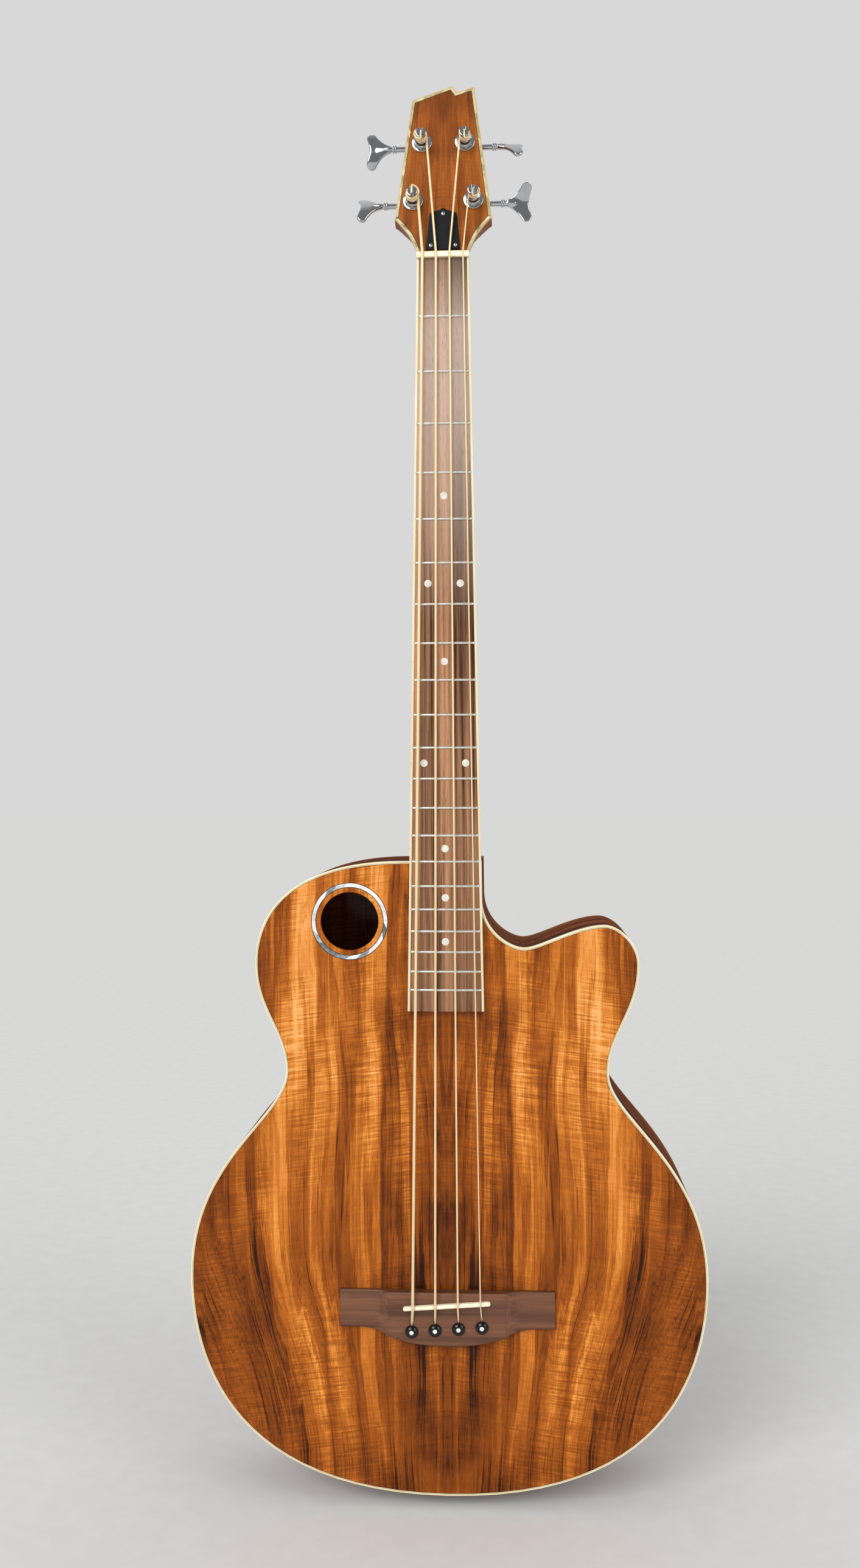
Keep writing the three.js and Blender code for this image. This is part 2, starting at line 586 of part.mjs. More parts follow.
// Neck: a round-backed shaft that deepens into the heel, joined to the leaning headstock
function neckSection(z) {
  const steps = fineness.round / 2;
  const up = (z - jointZ) / (nutTopZ - jointZ);
  const shaft = THREE.MathUtils.lerp(neck.depthAtHeel, neck.depthAtNut, up);
  const heelDepth = backFace(jointZ) - faceY - neck.heelShort;
  const rise = Math.min((z - jointZ) / neck.heelReach, 1);
  const heel = (1 - Math.sin(rise * Math.PI / 2)) ** neck.heelCurve;
  const depth = THREE.MathUtils.lerp(shaft, heelDepth, heel);
  const half = boardHalfWidth(Math.min(z, nutZ));
  return Array.from({ length: steps + 1 }, (_, i) => {
    const angle = (i / steps) * Math.PI;
    const down = Math.sin(angle);
    const pinch = 1 - neck.heelPinch * down * heel;
    return new THREE.Vector3(Math.cos(angle) * half * pinch, faceY + depth * down, z);
  });
}

// Joins rings of points, each with the same count, into one closed skin with flat ends
function loft(rings) {
  const count = rings[0].length;
  const positions = rings.flat().flatMap(({ x, y, z }) => [x, y, z]);
  const faces = [];
  for (let r = 0; r + 1 < rings.length; r += 1) {
    for (let i = 0; i < count; i += 1) {
      const j = (i + 1) % count;
      const [a, b, c, d] = [r * count + i, r * count + j, (r + 1) * count + j, (r + 1) * count + i];
      faces.push(a, b, c, a, c, d);
    }
  }
  const last = (rings.length - 1) * count;
  for (let i = 1; i + 1 < count; i += 1) {
    faces.push(0, i + 1, i, last, last + i, last + i + 1);
  }
  const geometry = new THREE.BufferGeometry();
  geometry.setAttribute('position', new THREE.Float32BufferAttribute(positions, 3));
  geometry.setIndex(faces);
  return geometry;
}

function buildNeck() {
  headFrame.updateMatrix();
  const start = jointZ + glueLine;
  const heelSteps = fineness.outline;
  const stops = Array.from({ length: heelSteps + 1 },
    (_, i) => start + (i / heelSteps) ** neck.heelSpacing * neck.heelReach);
  stops.push(nutTopZ + glueLine);
  const shaft = loft(stops.map(neckSection));
  const head = slab(headOutline(), flat(0), flat(headstock.thick)).applyMatrix4(headFrame.matrix);
  const bores = posts.map(({ x, up }) => barAlongY(
    x, up, tuner.sleeveRadius + glueLine, -overrun, headstock.thick + overrun, fineness.round)
    .applyMatrix4(headFrame.matrix));
  const pocket = box(-trussRod.pocketHalfWidth, trussRod.pocketHalfWidth, -overrun,
    trussRod.depth + overrun, 0, rodPocketUp).applyMatrix4(headFrame.matrix);
  const channel = box(-trussRod.width / 2 - glueLine, trussRod.width / 2 + glueLine,
    faceY - overrun, faceY + trussRod.depth + 2 * glueLine, start + neck.heelReach / 2, nutTopZ + overrun);
  const pilots = screwPlaces().map(([x, up]) => barAlongY(
    x, up, coverScrew.shankRadius + glueLine, -overrun, coverScrew.length).applyMatrix4(headFrame.matrix));
  addPiece('neck', cut(join(shaft, head, tenonBox(0)), channel, pocket, ...bores, ...pilots), mahogany);

  const rodLow = start + neck.heelReach / 2 + glueLine;
  const rod = box(-trussRod.width / 2, trussRod.width / 2, faceY + glueLine,
    faceY + glueLine + trussRod.depth, rodLow, nutTopZ);
  const { nutRadius, nutLength } = trussRod;
  const rodNut = new THREE.CylinderGeometry(nutRadius, nutRadius, nutLength, hexSides)
    .rotateX(Math.PI / 2 - headstock.lean)
    .translate(0, faceY + glueLine + trussRod.depth / 2, nutTopZ + nutLength / 2);
  addPiece('truss_rod', join(rod, rodNut), steel);
}

// Fingerboard with its frets, its bindings and the nut
function boardPlan(low, high, trim) {
  const lowHalf = boardHalfWidth(low) - trim;
  const highHalf = boardHalfWidth(high) - trim;
  return [[-lowHalf, low], [lowHalf, low], [highHalf, high], [-highHalf, high]]
    .map(([x, z]) => new THREE.Vector2(x, z));
}

function buildFingerboard() {
  const high = nutZ - glueLine;
  const low = nutZ - boardLength;
  const trim = fingerboard.bindingWidth + glueLine;
  const front = flat(boardFaceY);
  const back = flat(faceY - glueLine);
  const board = slab(boardPlan(low, high, trim), front, back);
  const frets = Array.from({ length: fretCount }, (_, i) => {
    const z = nutZ - fretDistance(i + 1);
    const half = boardHalfWidth(z) - trim - glueLine;
    const profile = new THREE.Shape([
      [-fret.width / 2, -fret.seat], [fret.width / 2, -fret.seat], [fret.width / 2, 0],
      [fret.crownWidth / 2, fret.height], [-fret.crownWidth / 2, fret.height], [-fret.width / 2, 0],
    ].map(([along, height]) => new THREE.Vector2(along, height)));
    return new THREE.ExtrudeGeometry(profile, { depth: 2 * half, bevelEnabled: false })
      .translate(0, 0, -half).rotateZ(Math.PI).rotateY(Math.PI / 2).translate(0, boardFaceY, z);
  });
  addPiece('fingerboard', join(board, ...frets), rosewood);

  [['bass', -1], ['treble', 1]].forEach(([side, sign]) => {
    const strip = [
      [sign * (boardHalfWidth(low) - fingerboard.bindingWidth), low], [sign * boardHalfWidth(low), low],
      [sign * boardHalfWidth(high), high], [sign * (boardHalfWidth(high) - fingerboard.bindingWidth), high],
    ].map(([x, z]) => new THREE.Vector2(x, z));
    addPiece(`fingerboard_binding_${side}`, slab(strip, front, back), cream);
  });

  const half = fingerboard.nutWidth / 2;
  const nutFront = fretTopY - nut.proud;
  const block = box(-half, half, nutFront, faceY - glueLine, nutZ, nutTopZ - glueLine);
  const slots = strings.map(({ nutX, radius }) => box(
    nutX - radius - glueLine, nutX + radius + glueLine,
    nutFront - overrun, underStringAtNut + glueLine, nutZ - overrun, nutTopZ + overrun));
  addPiece('nut', cut(block, ...slots), bone);
}

// Headstock veneer, its binding and the truss rod cover
function screwPlaces() {
  return [[-coverScrew.side, coverScrew.low], [coverScrew.side, coverScrew.low], [0, coverScrew.high]];
}

function buildHeadFace() {
  const edge = headstock.bindingWidth;
  const front = flat(veneerFaceY);
  const back = flat(-glueLine);
  const bores = posts.map(({ x, up }) => barAlongY(
    x, up, tuner.sleeveRadius + glueLine, veneerFaceY - overrun, overrun, fineness.round));
  const pocket = box(-trussRod.pocketHalfWidth, trussRod.pocketHalfWidth, veneerFaceY - overrun, overrun,
    -overrun, rodPocketUp);
  const pilots = screwPlaces().map(([x, up]) => barAlongY(
    x, up, coverScrew.shankRadius + glueLine, veneerFaceY - overrun, overrun));
  const sheet = slab(headOutline(edge + glueLine), front, back);
  addPiece('headstock_veneer', cut(sheet, pocket, ...bores, ...pilots), koa, headFrame);
  const rim = [...headOutline(), ...headOutline(edge).reverse()];
  addPiece('headstock_binding', slab(rim, front, back), cream, headFrame);

  const c = trussCover;
  const curve = new THREE.CubicBezierCurve(
    new THREE.Vector2(c.shoulderHalfWidth, c.shoulderUp), new THREE.Vector2(c.shoulderHalfWidth, c.apexUp),
    new THREE.Vector2(c.shoulderHalfWidth / 2, c.shoulderUp + (c.apexUp - c.shoulderUp) / 2),
    new THREE.Vector2(0, c.apexUp)).getPoints(fineness.outline);
  const mirrored = curve.slice(0, -1).reverse().map(({ x, y }) => new THREE.Vector2(-x, y));
  const plan = [new THREE.Vector2(-c.baseHalfWidth, c.base), new THREE.Vector2(c.baseHalfWidth, c.base),
    ...curve, ...mirrored];
  const underCover = veneerFaceY - glueLine;
  const holes = screwPlaces().map(([x, up]) => barAlongY(
    x, up, coverScrew.shankRadius + glueLine, underCover - c.thick - overrun, underCover + overrun));
  addPiece('truss_rod_cover', cut(slab(plan, flat(underCover - c.thick), flat(underCover)), ...holes),
    blackPlastic, headFrame);

  screwPlaces().forEach(([x, up], i) => {
    const s = coverScrew;
    const screw = turned([[0, -s.length], [s.shankRadius, -s.length], [s.shankRadius, glueLine],
      [s.headRadius, glueLine], [s.headRadius / 2, glueLine + s.headHeight], [0, glueLine + s.headHeight],
    ], fineness.screw).translate(x, underCover - c.thick, up);
    addPiece(`cover_screw_${i + 1}`, screw, steel, headFrame);
  });
}

// Tuning machines: all four share these shapes, placed on their posts in the head's own frame
function earOutline() {
  const t = tuner;
  const lobeX = t.buttonLength - t.lobeIn;
  const lobeUp = t.buttonHalfWidth - t.lobeRadius;
  const inner = new THREE.QuadraticBezierCurve(
    new THREE.Vector2(0, t.shaftRadius), new THREE.Vector2(lobeX / 2, t.shaftRadius + t.lobeRadius / 2),
    new THREE.Vector2(lobeX - t.lobeRadius * Math.SQRT1_2, lobeUp + t.lobeRadius * Math.SQRT1_2),
  ).getPoints(fineness.buttonEdge);
  const arcSteps = fineness.screw / 2;
  const lobe = Array.from({ length: arcSteps }, (_, i) => {
    const angle = THREE.MathUtils.lerp(3 * Math.PI / 4, 0, (i + 1) / arcSteps);
    return new THREE.Vector2(lobeX + t.lobeRadius * Math.cos(angle), lobeUp + t.lobeRadius * Math.sin(angle));
  });
  return [new THREE.Vector2(0, 0), ...inner, ...lobe, new THREE.Vector2(t.buttonLength - t.buttonDish, 0)];
}

// The key turns about X: shaft, worm, two collars and a finger button whose two ears bend to one side
function keyShape() {
  const t = tuner;
  const collar = (start) => [
    [t.shaftRadius, start], [t.collarRadius, start], [t.collarRadius, start + t.collarThick],
    [t.shaftRadius, start + t.collarThick]];
  const second = t.collarOut + t.collarThick + t.collarGap;
  const profile = [
    [0, -t.wormHalfLength], [t.wormRadius, -t.wormHalfLength], [t.wormRadius, t.wormHalfLength],
    [t.shaftRadius, t.wormHalfLength], ...collar(t.collarOut), ...collar(second),
    [t.shaftRadius, t.buttonOut], [t.hubRadius, t.buttonOut + t.hubRadius],
    [t.hubRadius / 2, t.buttonOut + t.buttonLength / 2], [0, t.buttonOut + t.buttonLength / 2],
  ].map(([radius, along]) => new THREE.Vector2(radius, along));
  const shaft = new THREE.LatheGeometry(profile, fineness.screw).rotateZ(-Math.PI / 2);
  const ears = [1, -1].map((end) => {
    const plan = earOutline().map(({ x, y }) => new THREE.Vector2(x, end * y));
    const ear = new THREE.ExtrudeGeometry(new THREE.Shape(plan), {
      depth: t.buttonThick, bevelEnabled: false,
    }).translate(t.buttonOut, 0, -t.buttonThick / 2).rotateX(Math.PI / 2);
    const position = ear.attributes.position;
    for (let i = 0; i < position.count; i += 1) {
      position.setY(i, position.getY(i) + t.buttonCup * (position.getZ(i) / t.buttonHalfWidth) ** 2);
    }
    return ear;
  });
  return join(shaft, ...ears);
}

function postShape() {
  const t = tuner;
  const gearTop = t.gearThick / 2 - t.shaftDepth;
  const gearLow = gearTop - t.gearThick;
  const post = turned([
    [0, gearLow], [t.gearRadius, gearLow], [t.gearRadius, gearTop], [t.postRadius, gearTop],
    [t.postRadius, sleeveTop], [t.waistRadius, sleeveTop + glueLine], [t.waistRadius, capLow],
    [t.capRadius, capLow + (t.capRadius - t.waistRadius) / 2], [t.capRadius, postHeight - glueLine],
    [t.waistRadius, postHeight], [0, postHeight],
  ], fineness.round);
  const slot = box(-t.slotWidth / 2, t.slotWidth / 2, -postHeight - overrun, t.slotDepth - postHeight,
    -t.capRadius - overrun, t.capRadius + overrun);
  return cut(post, slot);
}

function buildTuners() {
  const t = tuner;
  const shaftY = veneerFaceY + t.shaftDepth;
  const shaftUp = t.gearRadius + t.wormRadius + runningGap;
  const frontY = headstock.thick + glueLine;
  const backY = shaftY + t.gearRadius + t.wall / 2;
  const gearRoom = t.gearRadius + runningGap;
  const wormRoom = t.wormRadius + runningGap;
  strings.forEach(({ name, side, keyTurn }, i) => {
    const { x, up } = posts[i];

    const flange = [[0, glueLine], [t.flangeRadius, glueLine], [t.flangeRadius, t.flangeThick],
      [t.hexRadius, glueLine + t.flangeThick], [0, glueLine + t.flangeThick]];
    const hex = new THREE.CylinderGeometry(t.hexRadius, t.hexRadius, t.hexHeight + glueLine, hexSides)
      .translate(0, -t.flangeThick - (t.hexHeight + glueLine) / 2, 0);
    const through = headstock.thick - veneerFaceY;
    const sleeve = barAlongY(0, 0, t.sleeveRadius, -t.flangeThick, through, fineness.round);
    const bore = barAlongY(0, 0, t.postRadius + runningGap, -t.flangeThick - t.hexHeight - overrun,
      through + overrun, fineness.round);
    const bushing = cut(join(turned(flange, fineness.round), hex, sleeve), bore);
    const bushingPiece = addPiece(`tuner_bushing_${name}`, bushing, chrome, headFrame);
    bushingPiece.position.set(x, veneerFaceY, up);

    const post = addPiece(`tuner_post_${name}`, postShape(), chrome, headFrame);
    post.position.set(x, veneerFaceY, up);

    const reach = t.wormHalfLength + t.wall + runningGap;
    const halfCase = gearRoom + t.wall + glueLine;
    const gearCase = box(-halfCase, halfCase, frontY, backY, -gearRoom - t.wall, shaftUp + wormRoom + t.wall);
    const boss = new THREE.CylinderGeometry(t.bossRadius, t.bossRadius, t.bossReach, fineness.screw)
      .rotateZ(Math.PI / 2).translate(side * t.bossReach / 2, shaftY, shaftUp);
    const gearPocket = barAlongY(0, 0, gearRoom, shaftY - t.gearThick / 2 - runningGap,
      shaftY + t.gearThick / 2 + runningGap, fineness.round);
    const wormPocket = new THREE.CylinderGeometry(
      wormRoom, wormRoom, 2 * (t.wormHalfLength + runningGap), fineness.screw)
      .rotateZ(Math.PI / 2).translate(0, shaftY, shaftUp);
    const shaftBore = new THREE.CylinderGeometry(
      t.shaftRadius + runningGap, t.shaftRadius + runningGap, t.bossReach + reach, fineness.screw)
      .rotateZ(Math.PI / 2).translate(side * (t.bossReach + reach) / 2, shaftY, shaftUp);
    const postBore = barAlongY(0, 0, t.postRadius + runningGap, frontY - overrun, shaftY, fineness.round);
    const housing = cut(join(gearCase, boss), gearPocket, wormPocket, shaftBore, postBore);
    addPiece(`tuner_housing_${name}`, housing.translate(x, 0, up), chrome, headFrame);

    const key = addPiece(`tuner_key_${name}`, keyShape(), chrome, headFrame);
    key.position.set(x, shaftY, up + shaftUp);
    key.rotation.set(THREE.MathUtils.degToRad(keyTurn), 0, side < 0 ? Math.PI : 0);
  });
}

// A closed round cord along a list of points, mitred where it bends
function cord(points, radius) {
  const sides = fineness.stringSides;
  const ahead = points.map((p, i) => points[Math.min(i + 1, points.length - 1)].clone()
    .sub(points[Math.min(i, points.length - 2)]).normalize());
  const behind = points.map((p, i) => (i === 0 ? ahead[0] : ahead[i - 1]));
  let across = new THREE.Vector3(1, 0, 0);
  const rings = points.map((point, i) => {
    const along = ahead[i].clone().add(behind[i]).normalize();
    across = across.clone().addScaledVector(behind[i], -across.dot(behind[i])).normalize();
    const up = new THREE.Vector3().crossVectors(behind[i], across);
    return Array.from({ length: sides }, (_, k) => {
      const angle = (k / sides) * 2 * Math.PI;
      const spoke = across.clone().multiplyScalar(radius * Math.cos(angle))
        .addScaledVector(up, radius * Math.sin(angle));
      return point.clone().add(spoke).addScaledVector(behind[i], -spoke.dot(along) / behind[i].dot(along));
    });
  });
  return loft(rings);
}

// Turns round a post, from the place where the string meets it up towards the post's cap
function windingPoints({ nutX, radius, gauge, side, turns }, post) {
  const wind = tuner.waistRadius + runningGap + radius;
  const step = gauge + windingGap;
  const low = capLow - runningGap - radius - turns * step;
  const from = new THREE.Vector2(nutX - post.x, -post.up);
  const meetAngle = from.angle() - side * Math.acos(wind / from.length());
  const steps = Math.round(turns * fineness.loop);
  return Array.from({ length: steps + 1 }, (_, i) => {
    const turn = i / fineness.loop;
    const angle = meetAngle - side * turn * 2 * Math.PI;
    return new THREE.Vector3(
      post.x + wind * Math.cos(angle), veneerFaceY - low - step * turn, post.up + wind * Math.sin(angle),
    ).applyMatrix4(headFrame.matrix);
  });
}

// Least distance between the centre lines of neighbouring turns, less the string's own thickness
function leastTurnGap(points, gauge) {
  let least = Infinity;
  points.forEach((point, i) => {
    points.slice(i + fineness.loop / 2).forEach((other) => {
      least = Math.min(least, point.distanceTo(other) - gauge);
    });
  });
  return least;
}

function buildStrings() {
  strings.forEach((string, i) => {
    const { name, nutX, saddleX, pinX, radius, gauge } = string;
    const { rampZ, rampY, crownZ, crownY, dropZ } = stringDrop(string);
    const ballY = plateY + glueLine + ball.radius;
    const winding = windingPoints(string, posts[i]);
    const points = [
      new THREE.Vector3(pinX, ballY, dropZ),
      new THREE.Vector3(pinX, rampY + radius, dropZ),
      new THREE.Vector3(pinX, rampY, rampZ),
      new THREE.Vector3(saddleX, crownY, crownZ),
      new THREE.Vector3(saddleX, crownY, crownZ + saddle.thick),
      new THREE.Vector3(nutX, underStringAtNut - radius, nutZ),
      new THREE.Vector3(nutX, underStringAtNut - radius, nutTopZ),
      ...winding,
    ];
    const ballPiece = new THREE.CylinderGeometry(ball.radius, ball.radius, ball.length, fineness.screw)
      .rotateZ(Math.PI / 2).translate(pinX, ballY, dropZ);
    addPiece(`string_${name}`, join(cord(points, radius), ballPiece), bronze);
    console.log(`string ${name}: least gap between turns ${leastTurnGap(winding, gauge).toFixed(2)} mm`);
  });
}

buildShell();
buildInside();
buildBraces();
buildBridge();
buildStrapButton();
buildNeck();
buildFingerboard();
buildHeadFace();
buildTuners();
buildStrings();

export default guitar;
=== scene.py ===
# %% [markdown]
# # Acoustic bass guitar
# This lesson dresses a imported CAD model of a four-string acoustic bass guitar: a glossy koa box with a
# cutaway, a long bound neck, a small off-centre sound hole and chrome tuning machines.
# The CAD model fixes every place and size. Here each hard shape is drawn again with softer edges and
# finer curves, and each surface gets its wood, pearl, plastic or metal from nodes.
# Sizes are written in millimetres, as a guitar maker writes them, and become metres when a mesh is made.

# %% Load the frame
import math
from functools import partial

import bmesh
import bpy
import numpy as np
from mathutils import Matrix, Vector
from mathutils.geometry import tessellate_polygon


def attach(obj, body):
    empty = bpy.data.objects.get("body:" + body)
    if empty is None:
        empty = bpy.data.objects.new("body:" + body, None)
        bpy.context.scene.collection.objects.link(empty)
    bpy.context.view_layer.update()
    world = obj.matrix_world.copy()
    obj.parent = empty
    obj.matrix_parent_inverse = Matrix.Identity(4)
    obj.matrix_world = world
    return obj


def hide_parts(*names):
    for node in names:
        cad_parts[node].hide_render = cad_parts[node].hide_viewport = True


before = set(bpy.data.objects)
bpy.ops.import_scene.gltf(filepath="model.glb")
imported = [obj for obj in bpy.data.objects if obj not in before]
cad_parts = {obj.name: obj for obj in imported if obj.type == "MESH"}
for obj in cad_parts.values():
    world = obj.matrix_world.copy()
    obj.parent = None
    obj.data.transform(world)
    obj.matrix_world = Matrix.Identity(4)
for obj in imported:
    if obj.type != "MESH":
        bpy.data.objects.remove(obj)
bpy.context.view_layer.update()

# %% [markdown]
# ## Camera
# The camera comes first, because everything else is judged through it. It could be placed by eye, but its
# place and lens were worked out once from the ends of the neck and body, so it is simply written down.

# %% Camera
eye = Vector((0.05475, -1.25579, 0.60134))
ahead = Vector((-0.05631, 0.99841, 0.00263)).normalized()
right = ahead.cross(Vector((0.00405, -0.00240, 0.99999))).normalized()
camera_data = bpy.data.cameras.new("camera")
camera_data.sensor_width, camera_data.lens, camera_data.clip_end = 36.0, 33.0, 50
camera = bpy.data.objects.new("camera", camera_data)
bpy.context.scene.collection.objects.link(camera)
turned_frame = Matrix((right, right.cross(ahead), -ahead)).transposed().to_4x4()
camera.matrix_world = Matrix.Translation(eye) @ turned_frame
bpy.context.scene.camera = camera
print("camera stands", round((eye - Vector((0, -0.06, 0.6))).length, 3), "m from the strings")

# %% [markdown]
# ## Sizes of the instrument
# A fretted instrument is laid out from its scale, the length of string that sounds: each fret stands at the
# scale less the scale divided by two to the power of a twelfth of the fret's number.
# The body tapers in depth from the tail to the neck, and the head leans back by 8 degrees. The sound hole
# isn't in the middle but on the bass side, beside the end of the fingerboard.

# %% Sizes
SCALE, FRETS = 863.6, 21
TAIL, JOINT, NUT = 12.0, 540.2, 1040.70
TAIL_DEPTH, NECK_DEPTH = 120.0, 97.0
NUT_WIDTH, END_WIDTH, BOARD_LENGTH = 43.7, 63.6, 624.8
FACE, BOARD_FACE, HEAD_FOOT = -60.0, -67.1, 1046.0
HOLE, HOLE_RADIUS = (-80.6, 490.0), 24.25
LEAN = math.radians(8)
VENEER = -2.5


def xyz(x, y, z):
    """Points from three arrays or numbers, each spread over the shape of the others."""
    return np.stack(np.broadcast_arrays(x, y, z), -1)


def measured(line):
    """How far along a line each of its points lies, as a column."""
    return np.concatenate([[0], np.cumsum(np.linalg.norm(np.diff(line, axis=0), axis=1))])[:, None]


def fret_distance(number):
    """Distance of a fret from the nut: the scale less the scale over two to the power of number / 12."""
    return SCALE * (1 - 2.0 ** (-np.asarray(number) / 12))


def back_face(z):
    """The back's outer face: a straight line from the depth at the tail to that at the neck."""
    return FACE + TAIL_DEPTH + (NECK_DEPTH - TAIL_DEPTH) * (z - TAIL) / (JOINT - TAIL)


def board_half(z):
    """Half the fingerboard's width: a straight taper from the nut to the board's end."""
    return (NUT_WIDTH + (END_WIDTH - NUT_WIDTH) * (NUT - z) / BOARD_LENGTH) / 2


def camber(x, radius=406.0):
    """How far a fretted face falls at x from its middle, on a cylinder of that radius."""
    return radius - np.sqrt(radius ** 2 - np.asarray(x, float) ** 2)


def on_head(points):
    """Turns points of the head's own frame (x, depth, up) by the lean and sets them at the nut."""
    x, depth, up = np.moveaxis(np.asarray(points, float), -1, 0)
    return xyz(x, math.cos(LEAN) * depth + math.sin(LEAN) * up + FACE,
               -math.sin(LEAN) * depth + math.cos(LEAN) * up + HEAD_FOOT)


print("12th fret stands", round(float(fret_distance(12)), 1), "mm from the nut")

# %% [markdown]
# ## Shapes from grids
# Nearly every piece of a guitar is either a plate with rounded edges, a turned part, or one section carried
# along a line. All three are grids of points: rows of one line after another. So one function turns any grid
# into faces, and the pieces differ only in the formula that fills the grid.
# Blender's own primitives and edit tools could make them too, but a formula can be read and changed.

# %% From a grid to a skin
def skin(loops, round_rows=False, round_columns=True, caps=False, lay=None):
    """Faces between neighbouring rows and columns of a grid of points; caps close its first and last row."""
    loops = np.asarray(loops, float)
    grid = np.arange(loops.shape[0] * loops.shape[1]).reshape(loops.shape[:2])
    top, low = (grid, np.roll(grid, -1, 0)) if round_rows else (grid[:-1], grid[1:])
    if round_columns:
        quads = np.stack([top, np.roll(top, -1, 1), np.roll(low, -1, 1), low], -1)
    else:
        quads = np.stack([top[:, :-1], top[:, 1:], low[:, 1:], low[:, :-1]], -1)
    faces = quads.reshape(-1, 4).tolist()
    if caps:
        faces += [grid[0, ::-1].tolist(), grid[-1].tolist()]
    lay = np.zeros_like(loops) if lay is None else np.broadcast_to(lay, loops.shape)
    return loops.reshape(-1, 3), faces, lay.reshape(-1, 3)


def make(name, parts, look, stands_for=(), body="instrument", sharp=32):
    """Joins grids into one mesh in metres, welds their seams, turns all faces outwards and places it."""
    starts = np.cumsum([0] + [len(points) for points, _, _ in parts])
    points = np.concatenate([points for points, _, _ in parts]) / 1000
    faces = [[int(start) + i for i in face] for start, (_, group, _) in zip(starts, parts) for face in group]
    mesh = bpy.data.meshes.new(name)
    mesh.from_pydata(points.tolist(), [], faces)
    lay = mesh.attributes.new("lay", "FLOAT_VECTOR", "POINT")
    lay.data.foreach_set("vector", np.concatenate([lay for _, _, lay in parts]).ravel())
    welded = bmesh.new()
    welded.from_mesh(mesh)
    bmesh.ops.remove_doubles(welded, verts=welded.verts, dist=2e-6)
    bmesh.ops.recalc_face_normals(welded, faces=welded.faces)
    welded.to_mesh(mesh)
    welded.free()
    mesh.polygons.foreach_set("use_smooth", np.ones(len(mesh.polygons), bool))
    mesh.set_sharp_from_angle(angle=math.radians(sharp))
    mesh.materials.append(look)
    piece = bpy.data.objects.new(name, mesh)
    bpy.context.scene.collection.objects.link(piece)
    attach(piece, body)
    if stands_for:
        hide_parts(*([stands_for] if isinstance(stands_for, str) else stands_for))
    return piece


print("faces of a grid of 3 rows of 8 points:", len(skin(np.zeros((3, 8, 3)), caps=True)[1]), "with its caps")

# %% [markdown]
# ## Outlines
# A plate's edge is an outline drawn several times, each time a little further in and a little deeper. Moving
# an outline inwards is done corner by corner: the two edges that meet there push the corner along the sum of
# their inward directions, so that both edges move by the same distance.

# %% Outline helpers
def inset(outline, distance):
    """A closed outline moved inwards by a distance, each corner along the sum of its edges' normals."""
    following = np.roll(outline, -1, 0)
    after = following - outline
    area = np.sum(outline[:, 0] * following[:, 1] - outline[:, 1] * following[:, 0])
    normal = np.stack([-after[:, 1], after[:, 0]], -1) * np.sign(area)
    normal /= np.linalg.norm(normal, axis=1)[:, None]
    before = np.roll(normal, 1, 0)
    share = distance / (1 + np.sum(before * normal, 1))
    return outline + (before + normal) * share[:, None]


def bezier(start, first, last, end, steps):
    """Points of a cubic curve, its end left out: the four corners weighted by Bernstein's polynomials."""
    t = np.linspace(0, 1, steps, endpoint=False)[:, None]
    weights = [(1 - t) ** 3, 3 * t * (1 - t) ** 2, 3 * t ** 2 * (1 - t), t ** 3]
    return sum(w * np.asarray(p, float) for w, p in zip(weights, (start, first, last, end)))


def through(points, steps):
    """A smooth line through points: cubic pieces whose slope at a point is that between its neighbours."""
    points = np.asarray(points, float)
    slope = np.gradient(points, axis=0)
    t = np.linspace(0, 1, steps, endpoint=False)[None, :, None]
    a, b, da, db = points[:-1, None], points[1:, None], slope[:-1, None], slope[1:, None]
    line = ((2 * t ** 3 - 3 * t ** 2 + 1) * a + (t ** 3 - 2 * t ** 2 + t) * da
            + (3 * t ** 2 - 2 * t ** 3) * b + (t ** 3 - t ** 2) * db)
    return np.concatenate([line.reshape(-1, points.shape[1]), points[-1:]])


def circle(x, z, radius, steps=96):
    """A circle's points, counted round from +X."""
    angle = np.linspace(0, 2 * np.pi, steps, endpoint=False)
    return np.stack([x + radius * np.cos(angle), z + radius * np.sin(angle)], -1)


def rounded(corners, radius, steps=5):
    """An open line with each inner corner replaced by a short curve that starts and ends a radius from it."""
    corners = np.asarray(corners, float)
    radius = np.broadcast_to(radius, len(corners))
    t = np.linspace(0, 1, steps + 1)[:, None]
    line = [corners[:1]]
    for a, b, c, r in zip(corners[:-2], corners[1:-1], corners[2:], radius[1:-1]):
        if r <= 0:
            line.append(b[None])
            continue
        before = b + (a - b) * min(1, r / np.linalg.norm(a - b))
        after = b + (c - b) * min(1, r / np.linalg.norm(c - b))
        pull = 0.17 * (before + after) / 2 + 0.83 * b
        line.append((1 - t) ** 2 * before + 2 * t * (1 - t) * pull + t ** 2 * after)
    return np.concatenate(line + [corners[-1:]])


print("a square moved inwards by 1:", inset(np.array([(0.0, 0), (4, 0), (4, 4), (0, 4)]), 1).tolist())

# %% [markdown]
# ## Plates and turned parts
# Outlines are flat lines of pairs, across and up. A small function puts them in space: from the soundboard's
# face, from the back's face or on the leaning head, so that the same helpers serve every plate.
# A turned part, such as a pin or a post, is a profile swung round an axis, as on a lathe.

# %% Plates and turned parts
def laid(line, depth, place):
    """A flat line's points with a depth between their two numbers, put in space by place."""
    return place(np.insert(line, 1, depth, 1))


def edge_loops(outline, section, place):
    """One loop of the outline for each pair (inset, depth) of the section."""
    return np.stack([laid(inset(outline, distance), depth, place) for distance, depth in section])


def flat_face(rims, depth, place):
    """A flat face inside an outline, round a hole if a second one is given, cut into triangles."""
    points = laid(np.concatenate(rims), depth, place)
    faces = tessellate_polygon([[Vector((x, z, 0)) for x, z in rim] for rim in rims])
    return points, [list(face) for face in faces], np.zeros_like(points)


